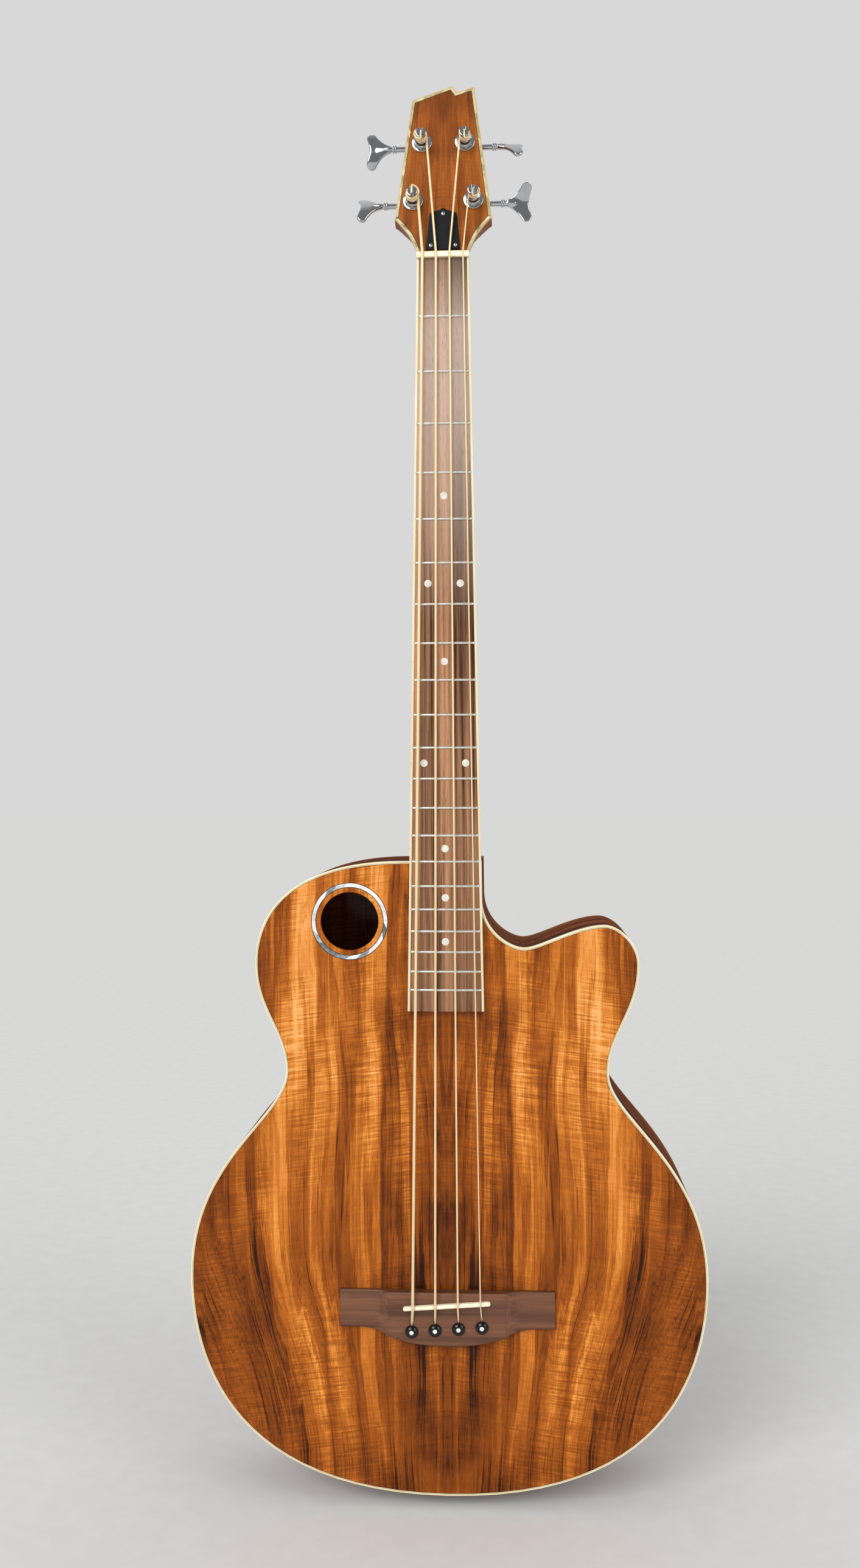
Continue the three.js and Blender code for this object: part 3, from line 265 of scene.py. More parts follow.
def from_front(points):
    """Depth counted inwards from the soundboard's face."""
    return points + np.array([0, FACE, 0])


def from_back(points):
    """Depth counted inwards from the back's face, which rises towards the neck."""
    x, depth, z = np.moveaxis(points, -1, 0)
    return xyz(x, back_face(z) - depth, z)


def turned(profile, steps=48, place=None):
    """A turned part: pairs (radius, height) swung round an axis along -Y, closed where the radius is 0."""
    radius, height = np.asarray(profile, float).T[..., None]
    angle = np.linspace(0, 2 * np.pi, steps, endpoint=False)
    loops = xyz(radius * np.cos(angle), -height, radius * np.sin(angle))
    return skin(loops if place is None else place(loops))


print("back face at the tail and the joint:", back_face(TAIL), round(back_face(JOINT), 1))

# %% [markdown]
# ## The box's outline
# The outline runs from the tail up the bass side, past the neck, round the cutaway and its horn, and down
# the treble side. It could be traced point by point, but a cubic curve between each two places where it runs
# straight up or straight across gives a fair line, as a maker draws it with a bent lath.

# %% The box's outline
def body_line(steps=26):
    """The box's outline: curves between the places where it runs straight up or straight across."""
    up = {name: TAIL + share * (JOINT - TAIL) for name, share in dict(
        lower=0.3425, waist=0.6672, upper=0.8377, horn=0.8991, cut=0.8633, cut_top=0.9407).items()}
    lower, waist, upper = 215.7, 134.7, 160.3
    treble = board_half(up["cut_top"])
    stops = [
        (0, TAIL, None, None, None),
        (-lower, up["lower"], "across", "up", (0.891, 0.326)),
        (-waist, up["waist"], "up", "up", (0.572, 0.222)),
        (-upper, up["upper"], "up", "up", (0.373, 0.445)),
        (-upper * 0.2245, JOINT, "up", "across", (0.397, 0.843)),
        (0, JOINT, None, None, None),
        (treble - 0.3, JOINT, None, None, None),
        (treble, up["cut_top"], None, None, None),
        (upper * 0.407, up["cut"], "up", "across", (0.667, 0.321)),
        (upper * 0.823, up["horn"], "across", "across", (0.19, 0.357)),
        (upper, up["upper"], "across", "up", (0.424, 0.54)),
        (waist, up["waist"], "up", "up", (0.445, 0.373)),
        (lower, up["lower"], "up", "up", (0.222, 0.572)),
        (0, TAIL, "up", "across", (0.326, 0.891)),
    ]
    line = []
    for (x0, z0, *_), (x, z, leaving, arriving, shares) in zip(stops[:-1], stops[1:]):
        if leaving is None:
            line.append(np.array([[x0, z0]]))
            continue
        dx, dz = x - x0, z - z0
        first = (x0, z0 + shares[0] * dz) if leaving == "up" else (x0 + shares[0] * dx, z0)
        last = (x, z - shares[1] * dz) if arriving == "up" else (x - shares[1] * dx, z)
        line.append(bezier((x0, z0), first, last, (x, z), steps))
    return np.concatenate(line)


outline = body_line()
print("outline of", len(outline), "points,", round(float(np.ptp(outline[:, 0])), 1), "mm across")

# %% [markdown]
# ## Colours and nodes
# Colours are written as they look on a screen, as hex codes, but Blender mixes light, so each code is turned
# to linear values first. One function adds a node, sets it and links it, so that a material reads as a list.

# %% Material helpers
def linear(code):
    """The linear colour of an sRGB hex code: values over 0.04045 are (value + 0.055) / 1.055, to the 2.4."""
    values = [int(code[i:i + 2], 16) / 255 for i in (1, 3, 5)]
    return tuple(v / 12.92 if v <= 0.04045 else ((v + 0.055) / 1.055) ** 2.4 for v in values) + (1.0,)


def add(tree, kind, inputs=(), stops=(), **settings):
    """Adds a shader node such as "Math ADD". Inputs come in order or by name: values, sockets or nodes."""
    kind, _, operation = kind.partition(" ")
    node = tree.nodes.new("ShaderNode" + kind)
    if operation:
        node.operation = operation
    for name, value in settings.items():
        setattr(node, name, value)
    live = [socket for socket in node.inputs if socket.enabled]
    for name, value in (inputs if isinstance(inputs, dict) else dict(enumerate(inputs))).items():
        socket = live[name] if isinstance(name, int) else next(s for s in live if s.name == name)
        if isinstance(value, bpy.types.Node):
            value = next(output for output in value.outputs if output.enabled)
        if isinstance(value, bpy.types.NodeSocket):
            tree.links.new(value, socket)
        else:
            socket.default_value = value
    for i, (place, colour) in enumerate(stops):
        elements = node.color_ramp.elements
        element = elements[i] if i < 2 else elements.new(place)
        element.position = place
        element.color = linear(colour) if isinstance(colour, str) else (colour, colour, colour, 1)
    return node


def material(name, **constants):
    """A material and its own add; constant numbers go straight onto the main shader's sockets."""
    look = bpy.data.materials.new(name)
    look.use_nodes = True
    for key, value in constants.items():
        look.node_tree.nodes["Principled BSDF"].inputs[key.replace("_", " ")].default_value = value
    return look, partial(add, look.node_tree)


def dress(look, colour, rough=None, relief=None, strength=0.0, height=0.0002):
    """Links a colour, a roughness and a relief, in metres, to a material's main shader."""
    links, shader = look.node_tree.links, look.node_tree.nodes["Principled BSDF"]
    links.new(colour.outputs[0], shader.inputs["Base Color"])
    if rough:
        links.new(rough.outputs[0], shader.inputs["Roughness"])
    if relief:
        dip = add(look.node_tree, "Bump", {"Height": relief, "Strength": strength, "Distance": height})
        links.new(dip.outputs[0], shader.inputs["Normal"])
    return look


def spread(node, where, scale, **settings):
    """Noise whose features are stretched by a scale in features per millimetre along each direction."""
    place = node("Mapping", {"Vector": where, "Scale": scale})
    return node("TexNoise", {"Vector": place, "Scale": 1.0, **settings})


def millimetres(node, own=False):
    """Where a point of the surface is, in mm: the object's own coordinates, or the piece's lay attribute."""
    if own:
        return node("Attribute", attribute_name="lay").outputs["Vector"]
    where = node("TexCoord").outputs["Object"]
    return node("VectorMath MULTIPLY", [where, (1000, 1000, 1000)])


print("middle grey on a screen, as light:", round(linear("#808080")[0], 3))

# %% [markdown]
# ## Koa
# The top is one thin board sawn open like a book, so its streaks mirror each other about the centre line.
# Koa runs from gold to almost black in long streaks, crossed by fine ripples of light, called flame, and
# pricked by short dark pores. It lies under a clear gloss lacquer.
# A painted picture could show that, but here it is built up in layers. All of them change one number, the
# tone, from 0 for the darkest line to 1 for the brightest gold, and one ramp turns the tone into a colour.

# %% Koa's tones
# Tones by distance from the joint in mm, and the ramps that turn a tone into a colour
SIDE_STREAKS, HALF_BOARD = 90.0, 220.0
koa_tones = [(mm / HALF_BOARD, tone) for mm, tone in (
    (0, 0.38), (10, 0.42), (22, 0.42), (31, 0.37), (38, 0.48), (47, 0.54), (52, 0.36), (57, 0.34), (61, 0.58),
    (70, 0.70), (82, 0.62), (90, 0.42), (95, 0.52), (105, 0.66), (116, 0.60), (121, 0.50), (129, 0.74),
    (142, 0.79), (152, 0.60), (163, 0.36), (170, 0.44), (180, 0.42), (190, 0.34), (198, 0.30), (206, 0.38),
    (216, 0.36))]
gold_ramp = [(0.0, "#301303"), (0.14, "#532405"), (0.28, "#74380A"), (0.42, "#904910"), (0.54, "#A85A1A"),
             (0.66, "#C06E24"), (0.78, "#D68434"), (0.90, "#E8984A"), (1.0, "#F4B068")]
# The back and sides take a darker koa ramp; on the sides part of that darkness is painted shade, the top's
# tones as in darker light
dark_and_shaded_ramp = [(0.0, "#2A1004"), (0.3, "#4C210A"), (0.55, "#703512"), (0.8, "#8E4D1E"), (1.0, "#A8652E")]
head_ramp = [(0.0, "#63300A"), (0.3, "#8C4812"), (0.45, "#A45A1C"), (0.6, "#B66A26"), (1.0, "#CE8840")]
print("koa:", len(koa_tones), "tones from the joint to", HALF_BOARD, "mm beside it")

# %% Koa
def koa(name, ramp, own=False, seed=0.0, flame=0.17, rise=0.0, lines=0.3, **constants):
    """Lacquered koa: a tone by distance from the joint, a painted falloff of light by height, then patches,
    streaks, lines, flame and pores.
    """
    look, node = material(name, Roughness=0.4, Coat_Roughness=0.14, **constants)
    parts = node("SeparateXYZ", [millimetres(node, own)])
    if own:
        across, height = node("Math ADD", [parts.outputs[1], SIDE_STREAKS]), parts.outputs[0]
    else:
        across, height = node("Math ABSOLUTE", [parts.outputs[0]]), parts.outputs[2]
    flat = node("CombineXYZ", [across, seed, height])

    def layer(tone, noise, change, low=0.3, high=0.7):
        """Adds to the tone from minus to plus the change, where the noise runs from low to high."""
        return node("Math ADD", [tone, node("MapRange", [noise, low, high, -change, change])])

    # The streaks wander slowly up the board, close in towards both ends and have fringed edges
    low = node("MapRange", [height, 240, 0, 1.0, 1.35], interpolation_type="SMOOTHSTEP")
    high = node("MapRange", [height, 300, 460, 1.0, 1.22], interpolation_type="SMOOTHSTEP")
    ring = node("Math MULTIPLY", [across, low])
    bent = layer(ring, spread(node, flat, (0.010, 1, 0.0035), Detail=1.0), 8)
    bent = layer(bent, spread(node, flat, (0.03, 1, 0.012), Detail=2.0), 1.5)
    ring = layer(bent, spread(node, flat, (0.11, 1, 0.004), Detail=4.0, Roughness=0.6), 5)
    rings = node("CombineXYZ", [ring, seed, height])
    zone = node("Math MULTIPLY", [ring, high])
    tone = node("ValToRGB", [node("Math DIVIDE", [zone, HALF_BOARD])], stops=koa_tones)
    # Painted light falloff: rise darkens the tone low on the body and lightens it towards the joint, a
    # painted shade over the lower bout
    tone = layer(tone, height, rise, 0, 500)
    # Broad patches, streaks about 4 mm wide, then year lines
    tone = layer(tone, spread(node, flat, (0.020, 1, 0.007), Detail=2.0), 0.11)
    tone = layer(tone, spread(node, rings, (0.17, 1, 0.0035), Detail=4.0, Roughness=0.6), 0.2)
    tone = layer(tone, spread(node, rings, (0.9, 1, 0.010), Detail=3.0), 0.1)
    calm = node("MapRange", [height, 150, 50, 0.0, 0.5])
    tone = node("Mix", [calm, tone, 0.46], data_type="FLOAT")
    # Thin dark lines stand where a slow noise crosses its middle, and only in some patches
    layers = node("CombineXYZ", [bent, seed + 5, height])
    crossing = node("Math SUBTRACT", [spread(node, layers, (0.12, 1, 0.0014), Detail=1.5), 0.5])
    line = node("Math ABSOLUTE", [crossing])
    ink = node("MapRange", [line, 0.004, 0.026, 1.0, 0.0])
    depth = node("MapRange", [tone, 0.35, 0.6, -lines, -lines * 0.4])
    ink = node("Math MULTIPLY", [ink, depth])
    some = node("MapRange", [spread(node, flat, (0.03, 1, 0.010), Detail=1.0), 0.42, 0.56])
    tone = node("Math MULTIPLY_ADD", [ink, some, tone])
    # Smoky clouds near the joint
    smoke = node("MapRange", [spread(node, flat, (0.028, 1, 0.014), Detail=4.0), 0.46, 0.64, 0.0, -0.27])
    near = node("MapRange", [across, 30, 95, 1.0, 0.3])
    tone = node("Math MULTIPLY_ADD", [smoke, near, tone])
    # Flame: slanting ripples about 3 mm apart, strongest on the gold
    slanted = node("Math MULTIPLY_ADD", [across, 0.14, height])
    ripple = spread(node, node("CombineXYZ", [across, seed, slanted]), (0.035, 1, 0.62), Detail=2.0)
    wave = node("MapRange", [ripple, 0.32, 0.68, -flame, flame])
    patch = node("MapRange", [spread(node, flat, (0.018, 1, 0.007), Detail=1.0), 0.42, 0.58, 0.2, 1.0])
    gold = node("MapRange", [tone, 0.3, 0.7, 0.3, 1.0])
    strong = node("Math MULTIPLY", [patch, gold])
    tone = node("Math MULTIPLY_ADD", [wave, strong, tone])
    # Pores: short dark lines
    pore = spread(node, flat, (2.2, 1, 0.12), Detail=1.0)
    tone = node("Math ADD", [tone, node("MapRange", [pore, 0.30, 0.38, -0.18, 0.0])])
    colour = node("ValToRGB", [tone], stops=ramp)
    return dress(look, colour, relief=pore, strength=0.04)


koa_top = koa("lacquered_koa_top", gold_ramp, rise=0.09, Specular_IOR_Level=0.06, Coat_Weight=0.2)
koa_back = koa("lacquered_koa_back", dark_and_shaded_ramp, seed=7.0, Specular_IOR_Level=0.05, Coat_Weight=0.2)
koa_side = koa("lacquered_koa_side", dark_and_shaded_ramp, own=True, seed=3.0, flame=0.2, Specular_IOR_Level=0.0,
               Coat_Weight=0.05)
head_koa = koa("lacquered_koa_head", head_ramp, seed=12.0, flame=0.12, lines=0.12, Specular_IOR_Level=0.1,
               Coat_Weight=0.16)
print("koa finishes:", [look.name for look in (koa_top, koa_back, koa_side, head_koa)])

# %% [markdown]
# ## The other woods
# The neck, blocks and linings are mahogany, an even reddish brown with fine dark pores. Braces are pale
# spruce with straight year lines. Fingerboard and bridge are rosewood, oiled and not lacquered, so it looks
# a little grey, with darker stripes. They differ in colour, line spacing and shine, so one recipe serves.

# %% Plain woods
# Painted sheen: the board is painted pale in a broad band where a reflection lies along it, and it is darker
# beside the nut and at its high end.
# Both lists give a share for each place in mm, which is divided by WHOLE, since a ramp runs from 0 to 1
WHOLE = 1100.0
painted_sheen_places = ((740, 0.0), (800, 0.2), (860, 0.42), (920, 0.66), (980, 0.7), (1010, 0.45), (1040, 0.2))
darker_end_places = ((416, 0.68), (460, 0.8), (540, 0.98), (600, 1.0), (985, 1.0), (1015, 0.85), (1040, 0.66))


def plain_wood(name, pale, dark, spacing, shine, pores=0.85, crosswise=False, sharp=0.12, painted_sheen=None,
               **constants):
    """Two tones mixed by noise in lines of one spacing along Z, or along X if crosswise, with short pores,
    and a painted sheen along Z if given.
    """
    look, node = material(name, Roughness=shine, **constants)
    where = millimetres(node)
    if crosswise:
        parts = node("SeparateXYZ", [where])
        where = node("CombineXYZ", [parts.outputs[2], parts.outputs[1], parts.outputs[0]])
    broad = spread(node, where, (0.25 / spacing, 0.25 / spacing, 0.002), Detail=3.0)
    lines = spread(node, where, (1 / spacing, 1 / spacing, 0.006), Detail=4.0, Roughness=0.65)
    both = node("Mix", [0.5, lines.outputs[0], broad.outputs[0]], data_type="FLOAT")
    colour = node("ValToRGB", [both], stops=[(0.5 - sharp, dark), (0.5 + sharp, pale)])
    # Painted sheen: a paler colour mixed in along the board where a reflection lies, then darker towards both
    # ends
    if painted_sheen:
        up = node("Math DIVIDE", [node("SeparateXYZ", [where]).outputs[2], WHOLE])
        sheen_share = node("ValToRGB", [up], stops=[(z / WHOLE, share) for z, share in painted_sheen_places])
        colour = node("Mix", [sheen_share, colour, linear(painted_sheen)], data_type="RGBA")
        end_darkening = node("ValToRGB", [up], stops=[(z / WHOLE, share) for z, share in darker_end_places])
        colour = node("VectorMath SCALE", {0: colour, "Scale": end_darkening})
    pore = spread(node, where, (2.2, 2.2, 0.12), Detail=1.0)
    hole = node("MapRange", [pore, 0.30, 0.38, pores, 1.0])
    colour = node("VectorMath SCALE", {0: colour, "Scale": hole})
    rough = node("MapRange", [lines, 0, 1, shine - 0.08, shine + 0.1])
    return dress(look, colour, rough, pore, 0.12, 0.0003)


mahogany = plain_wood("satin_mahogany", "#93501F", "#6C3612", 1.6, 0.38, Specular_IOR_Level=0.12)
raw_mahogany = plain_wood("bare_mahogany", "#9A6440", "#7A482C", 1.6, 0.7)
spruce = plain_wood("bare_spruce", "#DDBE8C", "#C09A66", 1.2, 0.75, pores=1.0)
# The board's paler colour, #D2BEB0, is a painted sheen
rosewood = plain_wood("oiled_rosewood_board", "#C4906A", "#4A2A16", 2.6, 0.45, pores=0.66, sharp=0.1,
                      painted_sheen="#D2BEB0", Specular_IOR_Level=0.2)
bridge_wood = plain_wood("oiled_rosewood_bridge", "#7E5036", "#33180D", 4.6, 0.36, crosswise=True, sharp=0.15,
                         Specular_IOR_Level=0.5)
print("woods:", [look.name for look in (mahogany, raw_mahogany, spruce, rosewood, bridge_wood)])

# %% [markdown]
# ## Plastic, bone, pearl and metal
# The bindings are cream plastic, with the faint flow lines of sheet that was pressed and cut. Nut and saddle
# are polished bone. Pearl is shell cut in short slips, laid end to end, and each slip turns the light its own
# way, so its tone changes from slip to slip. Metals get fine scuffs through their roughness.

# %% Plastic, bone and metal
def mottled(name, tones, spacing, shine, bump=0.0, **constants):
    """An even material whose tone and shine change a little, by noise with features spacing mm long."""
    look, node = material(name, **constants)
    where = millimetres(node)
    size = 1.0 / spacing
    cloud = spread(node, where, (size, size, size * 0.4), Detail=3.0)
    colour = node("ValToRGB", [cloud], stops=[(0.35, tones[0]), (0.65, tones[1])])
    scuff = spread(node, where, (size * 3, size * 3, size * 3), Detail=4.0)
    rough = node("MapRange", [scuff, 0.3, 0.7, shine * 0.8, shine * 1.25])
    return dress(look, colour, rough, scuff if bump else None, bump)


cream = mottled("cream_binding_plastic", ("#EEDDB0", "#F5E9C6"), 14, 0.3, Coat_Weight=0.3,
                Coat_Roughness=0.15)
bone = mottled("polished_bone", ("#F7EAC6", "#FFF6DC"), 6, 0.35)
olive = mottled("olive_fibre_line", ("#655A36", "#7E7248"), 3, 0.5)
fibre = mottled("black_fibre_line", ("#1E1A14", "#2C261C"), 3, 0.5)
gloss_black = mottled("turned_black_plastic", ("#070708", "#0E0E0F"), 8, 0.14, Specular_IOR_Level=0.4)
satin_black = mottled("moulded_black_plastic", ("#0B0B0C", "#121213"), 5, 0.36, bump=0.05,
                      Specular_IOR_Level=0.2)
chrome = mottled("chromed_steel", ("#BDC0C3", "#CDCFD1"), 9, 0.07, Metallic=1.0)
nickel = mottled("nickel_silver_wire", ("#DEDCD2", "#F0EEE6"), 4, 0.38, Metallic=1.0)
steel = mottled("machined_steel", ("#8D9095", "#A0A3A8"), 5, 0.32, Metallic=1.0)
white_pearl = mottled("pearl_dot", ("#DADACD", "#F3F1E6"), 2.2, 0.2, Coat_Weight=0.3)
tan = mottled("tan_binding_plastic", ("#C79A5E", "#D8B27A"), 10, 0.35)
print("materials so far:", len(bpy.data.materials))

# %% Pearl and wound bronze
def pearl(name, tones, length, centre=None):
    """Slips of shell: a number for each slip along the piece picks a tone, and fine noise clouds it."""
    look, node = material(name, Coat_Weight=0.4, Coat_Roughness=0.1)
    if centre is None:
        where = millimetres(node, own=True)
        parts = node("SeparateXYZ", [where])
        along, aside = parts.outputs[0], parts.outputs[1]
    else:
        where = node("VectorMath SUBTRACT", [millimetres(node), centre])
        parts = node("SeparateXYZ", [where])
        angle = node("Math ARCTAN2", [parts.outputs[2], parts.outputs[0]])
        along = node("Math MULTIPLY", [angle, 30.0])
        aside = node("VectorMath LENGTH", [where]).outputs["Value"]
    slant = node("Math MULTIPLY_ADD", [aside, 1.6, along])
    slip = node("Math DIVIDE", [slant, length])
    whole = node("Math FLOOR", [slip])
    chance = node("TexWhiteNoise", {"W": whole}, noise_dimensions="1D")
    cloud = spread(node, where, (0.35, 0.35, 0.35), Detail=3.0)
    both = node("Mix", [0.35, chance.outputs["Value"], cloud.outputs[0]], data_type="FLOAT")
    steps = [(0.16 + 0.68 * i / (len(tones) - 1), tone) for i, tone in enumerate(tones)]
    colour = node("ValToRGB", [both], stops=steps)
    return dress(look, colour, node("MapRange", [cloud, 0, 1, 0.18, 0.4]))


def wound_bronze():
    """Bronze wire round a core: ridges every 0.45 mm, which scatter light, so it mirrors only partly; its
    grooves are painted darker as shade.
    """
    look, node = material("wound_bronze", Metallic=0.6, Roughness=0.5)
    where = millimetres(node, own=True)
    wrap = node("Math MULTIPLY", [node("SeparateXYZ", [where]).outputs[0], 2 * math.pi / 0.45])
    ridge = node("Math SINE", [wrap])
    # Painted shade and highlight: the colour is darker in the grooves between ridges and paler on their
    # crowns
    tone = node("ValToRGB", [node("MapRange", [ridge, -1.0])], stops=[(0.0, "#F3D49F"), (1.0, "#FFEDC6")])
    return dress(look, tone, relief=ridge, strength=0.05)


rosette_pearl = pearl("abalone_ring", ("#596166", "#9AA1A5", "#E4E6E5", "#F6F6F2", "#C4BCC8"), 9,
                      centre=(HOLE[0], FACE, HOLE[1]))
border_pearl = pearl("pearl_border", ("#8C8452", "#B3A870", "#CFC48C", "#E6DCB0", "#A9A478"), 6)
bronze = wound_bronze()
print("all materials:", len(bpy.data.materials))

# %% [markdown]
# ## The soundboard and its edge
# The top is a koa plate 2.8 mm thick. Its edge is cut back for a cream binding with fine dark and cream
# lines beside it, and a shallow channel round the sound hole takes the pearl ring. The plate could be cut
# with a boolean, but its few loops are easily written down: round the edge, and down and up the channel.

# %% Soundboard
CHANNEL, PEARL_RING, PLATE = (28.1, 32.3), (28.65, 31.75), 2.8
EDGE_STRIP, STRIP_DEPTH, LINES = 1.3, 6.0, 1.1


def round_hole(section):
    """Circles round the sound hole, one for each pair (radius, depth) of a section."""
    return np.stack([laid(circle(*HOLE, radius), depth, from_front) for radius, depth in section])


plate_line = inset(outline, EDGE_STRIP + LINES)
channel = [(CHANNEL[1], 0), (CHANNEL[1], 1.2), (CHANNEL[0], 1.2), (CHANNEL[0], 0), (24.9, 0), (24.55, 0.1),
           (24.3, 0.4), (HOLE_RADIUS, 0.8), (HOLE_RADIUS, PLATE)]
wall = np.stack([laid(plate_line, depth, from_front) for depth in (0, PLATE)])
make("top_plate", [
    skin(round_hole(channel)), skin(wall), flat_face([plate_line, circle(*HOLE, CHANNEL[1])], 0, from_front),
    flat_face([plate_line, circle(*HOLE, HOLE_RADIUS)], PLATE, from_front)], koa_top, "soundboard")


def flush_ring(name, start, end, look, slot, stands_for=()):
    """A flat ring 1 mm deep let into the top between two radii, its upper edges a little rounded."""
    section = rounded([(start, 1), (start, 0), (end, 0), (end, 1)], [0, 0.12, 0.12, 0], 2)
    return make(name, [skin(round_hole(section), round_rows=True)], look, stands_for)


flush_ring("rosette_pearl", *PEARL_RING, rosette_pearl, "pearl", "rosette")
flush_ring("rosette_line_outer", PEARL_RING[1], CHANNEL[1], fibre, "black_plastic")
flush_ring("rosette_line_inner", CHANNEL[0], PEARL_RING[0], fibre, "black_plastic")


def edging(name, section, place, look, stands_for=()):
    """A strip carried round the box: one loop of the outline for each corner of its closed section."""
    return make(name, [skin(edge_loops(outline, section, place), round_rows=True)], look, stands_for)


strip = rounded([(0, STRIP_DEPTH), (0, 0), (EDGE_STRIP, 0), (EDGE_STRIP, STRIP_DEPTH)], [0, 0.9, 0, 0], 6)
edging("front_binding", strip, from_front, cream, "top_binding")
for number, (start, end, look) in enumerate(((0, 0.3, olive), (0.3, 0.75, cream), (0.75, LINES, fibre)), 1):
    flush = [(EDGE_STRIP + start, 2), (EDGE_STRIP + start, 0), (EDGE_STRIP + end, 0), (EDGE_STRIP + end, 2)]
    edging(f"top_line_{number}", flush, from_front, look)
print("soundboard with", len(channel), "loops round its hole")

# %% [markdown]
# ## Sides and back
# The sides are bent from 2.2 mm boards, so their grain follows the bend: each point carries how far along
# and how far down the side it lies, and the koa reads that. They join at the tail and under the neck.
# The back is book-matched like the top.

# %% Sides, back and back binding
SIDE = 2.2


def rim(name, first, last, node):
    """Half of the bent side: outer face, back edge, inner face and front edge between two outline points."""
    loops = []
    for distance, place in ((0.0, from_front), (0.0, from_back), (SIDE, from_back), (SIDE, from_front)):
        line = inset(outline, distance)
        line = np.concatenate([line, line[:1]])[first:last + 1]
        loops.append(laid(line, STRIP_DEPTH, place))
    loops = np.stack(loops, 1)
    lay = xyz(measured(loops[:, 0, ::2]), loops[..., 1], 0)
    return make(name, [skin(loops, caps=True, lay=lay)], koa_side, node)


middle = int(np.argmin(np.hypot(outline[:, 0], outline[:, 1] - JOINT)))
rim("side_board_bass", 0, middle, "side_bass")
rim("side_board_treble", middle, len(outline), "side_treble")

back_section = [(EDGE_STRIP, 3.0), (EDGE_STRIP, 0.0), (EDGE_STRIP + 1, 0.0)]
make("back_board", [skin(edge_loops(outline, back_section, from_back), caps=True)], koa_back,
     "back_plate")
edging("rear_binding", strip, from_back, cream, "back_binding")
print("side boards meet at the tail and at", np.round(outline[middle], 1))

# %% [markdown]
# ## Bridge, saddle and pins
# The bridge is a rosewood bar with a thick middle block that scoops down to thin wings, and a belly behind
# the pins. Seen from the front it is one height field: for each place across, a section from its lower to
# its upper edge, with both edges rounded over. The saddle leans a little, so that the thick strings are
# longer. Each pin is a turned black plug with a pearl dot, and wedges a string's ball end under the top.

# %% Bridge
# Name, gauge, side of the head, turns round the post and turn of the key
STRINGS = [("e", 2.5, -1, 1.9, 151), ("a", 2.0, -1, 2.25, 183), ("d", 1.65, 1, 2.6, -47),
           ("g", 1.15, 1, 3.3, 198)]
SADDLE_LINE = NUT - SCALE
BRIDGE_TOP, BRIDGE_HALF, BLOCK_HALF, SCOOP, BLOCK, WING, RAMP = -69.8, 89.5, 48, 14, 9.5, 3.4, 11
SADDLE_HALF, SADDLE_THICK, SLANT, SET_BACK, TO_PINS = 36.2, 1.75, 5.4 / 73.8, 3.3, 19.5


def saddle_z(x):
    """The saddle's middle line, farther back on the bass end, for the thick strings."""
    return SADDLE_LINE - SET_BACK + SLANT * x


nut_x = dict(zip("eadg", np.linspace(-16.8, 16.8, 4)))
saddle_x = dict(zip("eadg", np.linspace(-27.9, 27.9, 4)))
pin_x = dict(zip("eadg", np.linspace(-29.0, 29.0, 4)))
pin_z = {name: saddle_z(x) - TO_PINS for name, x in pin_x.items()}


def bridge_sections(radius=1.3):
    """Closed sections across the bridge: height is the block's, less a round at every outer edge."""
    close = np.array([0, 0.1, 0.3, 0.6, 0.95, radius])
    slots = [pin_x[name] + side * (gauge / 2 + 0.35 + far) for name, gauge, *_ in STRINGS
             for side in (-1, 1) for far in (0, 0.12)]
    wing = BLOCK_HALF + SCOOP
    half = np.concatenate([BRIDGE_HALF - close, np.linspace(wing, 88, 18), np.linspace(BLOCK_HALF, wing, 15),
                           np.linspace(0, BLOCK_HALF, 25), BLOCK_HALF - close])
    xs = np.unique(np.round(np.concatenate([-half, half, slots]), 3))
    curve = bezier((77.5, -24), (48, -24), (48, -37.3), (0, -37.3), 60)
    low, high = np.interp(np.abs(xs), curve[::-1, 0], curve[::-1, 1]), 7.0
    inner = np.linspace(0, 1, 34)[:, None] * (high - 2 * radius - low) + low + radius
    zs = np.concatenate([low + close[:-1, None], inner, high - close[:-1, None][::-1] + 0 * low])
    fall = np.clip((np.abs(xs) - BLOCK_HALF) / SCOOP, 0, 1)
    block = WING + (BLOCK - WING) * (1 - fall) ** 2
    away = np.minimum.reduce(np.broadcast_arrays(zs - low, high - zs, BRIDGE_HALF - np.abs(xs)))
    height = block - radius + np.sqrt(radius ** 2 - np.clip(radius - away, 0, radius) ** 2)
    for name, gauge, *_ in STRINGS:
        start = pin_z[name] - SADDLE_LINE
        ramp = (np.abs(xs - pin_x[name]) < gauge / 2 + 0.4) & (zs > start) & (zs < start + RAMP)
        cut = BLOCK - gauge * np.clip((start + RAMP - zs) / 5, 0, 1)
        height = np.where(ramp, np.minimum(height, cut), height)
    foot = 0 * low[None]
    zs = np.concatenate([low[None], zs, foot + high]) + SADDLE_LINE
    height = np.concatenate([foot - 0.3, height, foot - 0.3])
    return xyz(xs, FACE - 0.3 - height, zs).transpose(1, 0, 2)


make("bridge_bar", [skin(bridge_sections(), caps=True)], bridge_wood, "bridge", sharp=40)
print("bridge", 2 * BRIDGE_HALF, "mm wide, saddle at", round(saddle_z(0), 1))

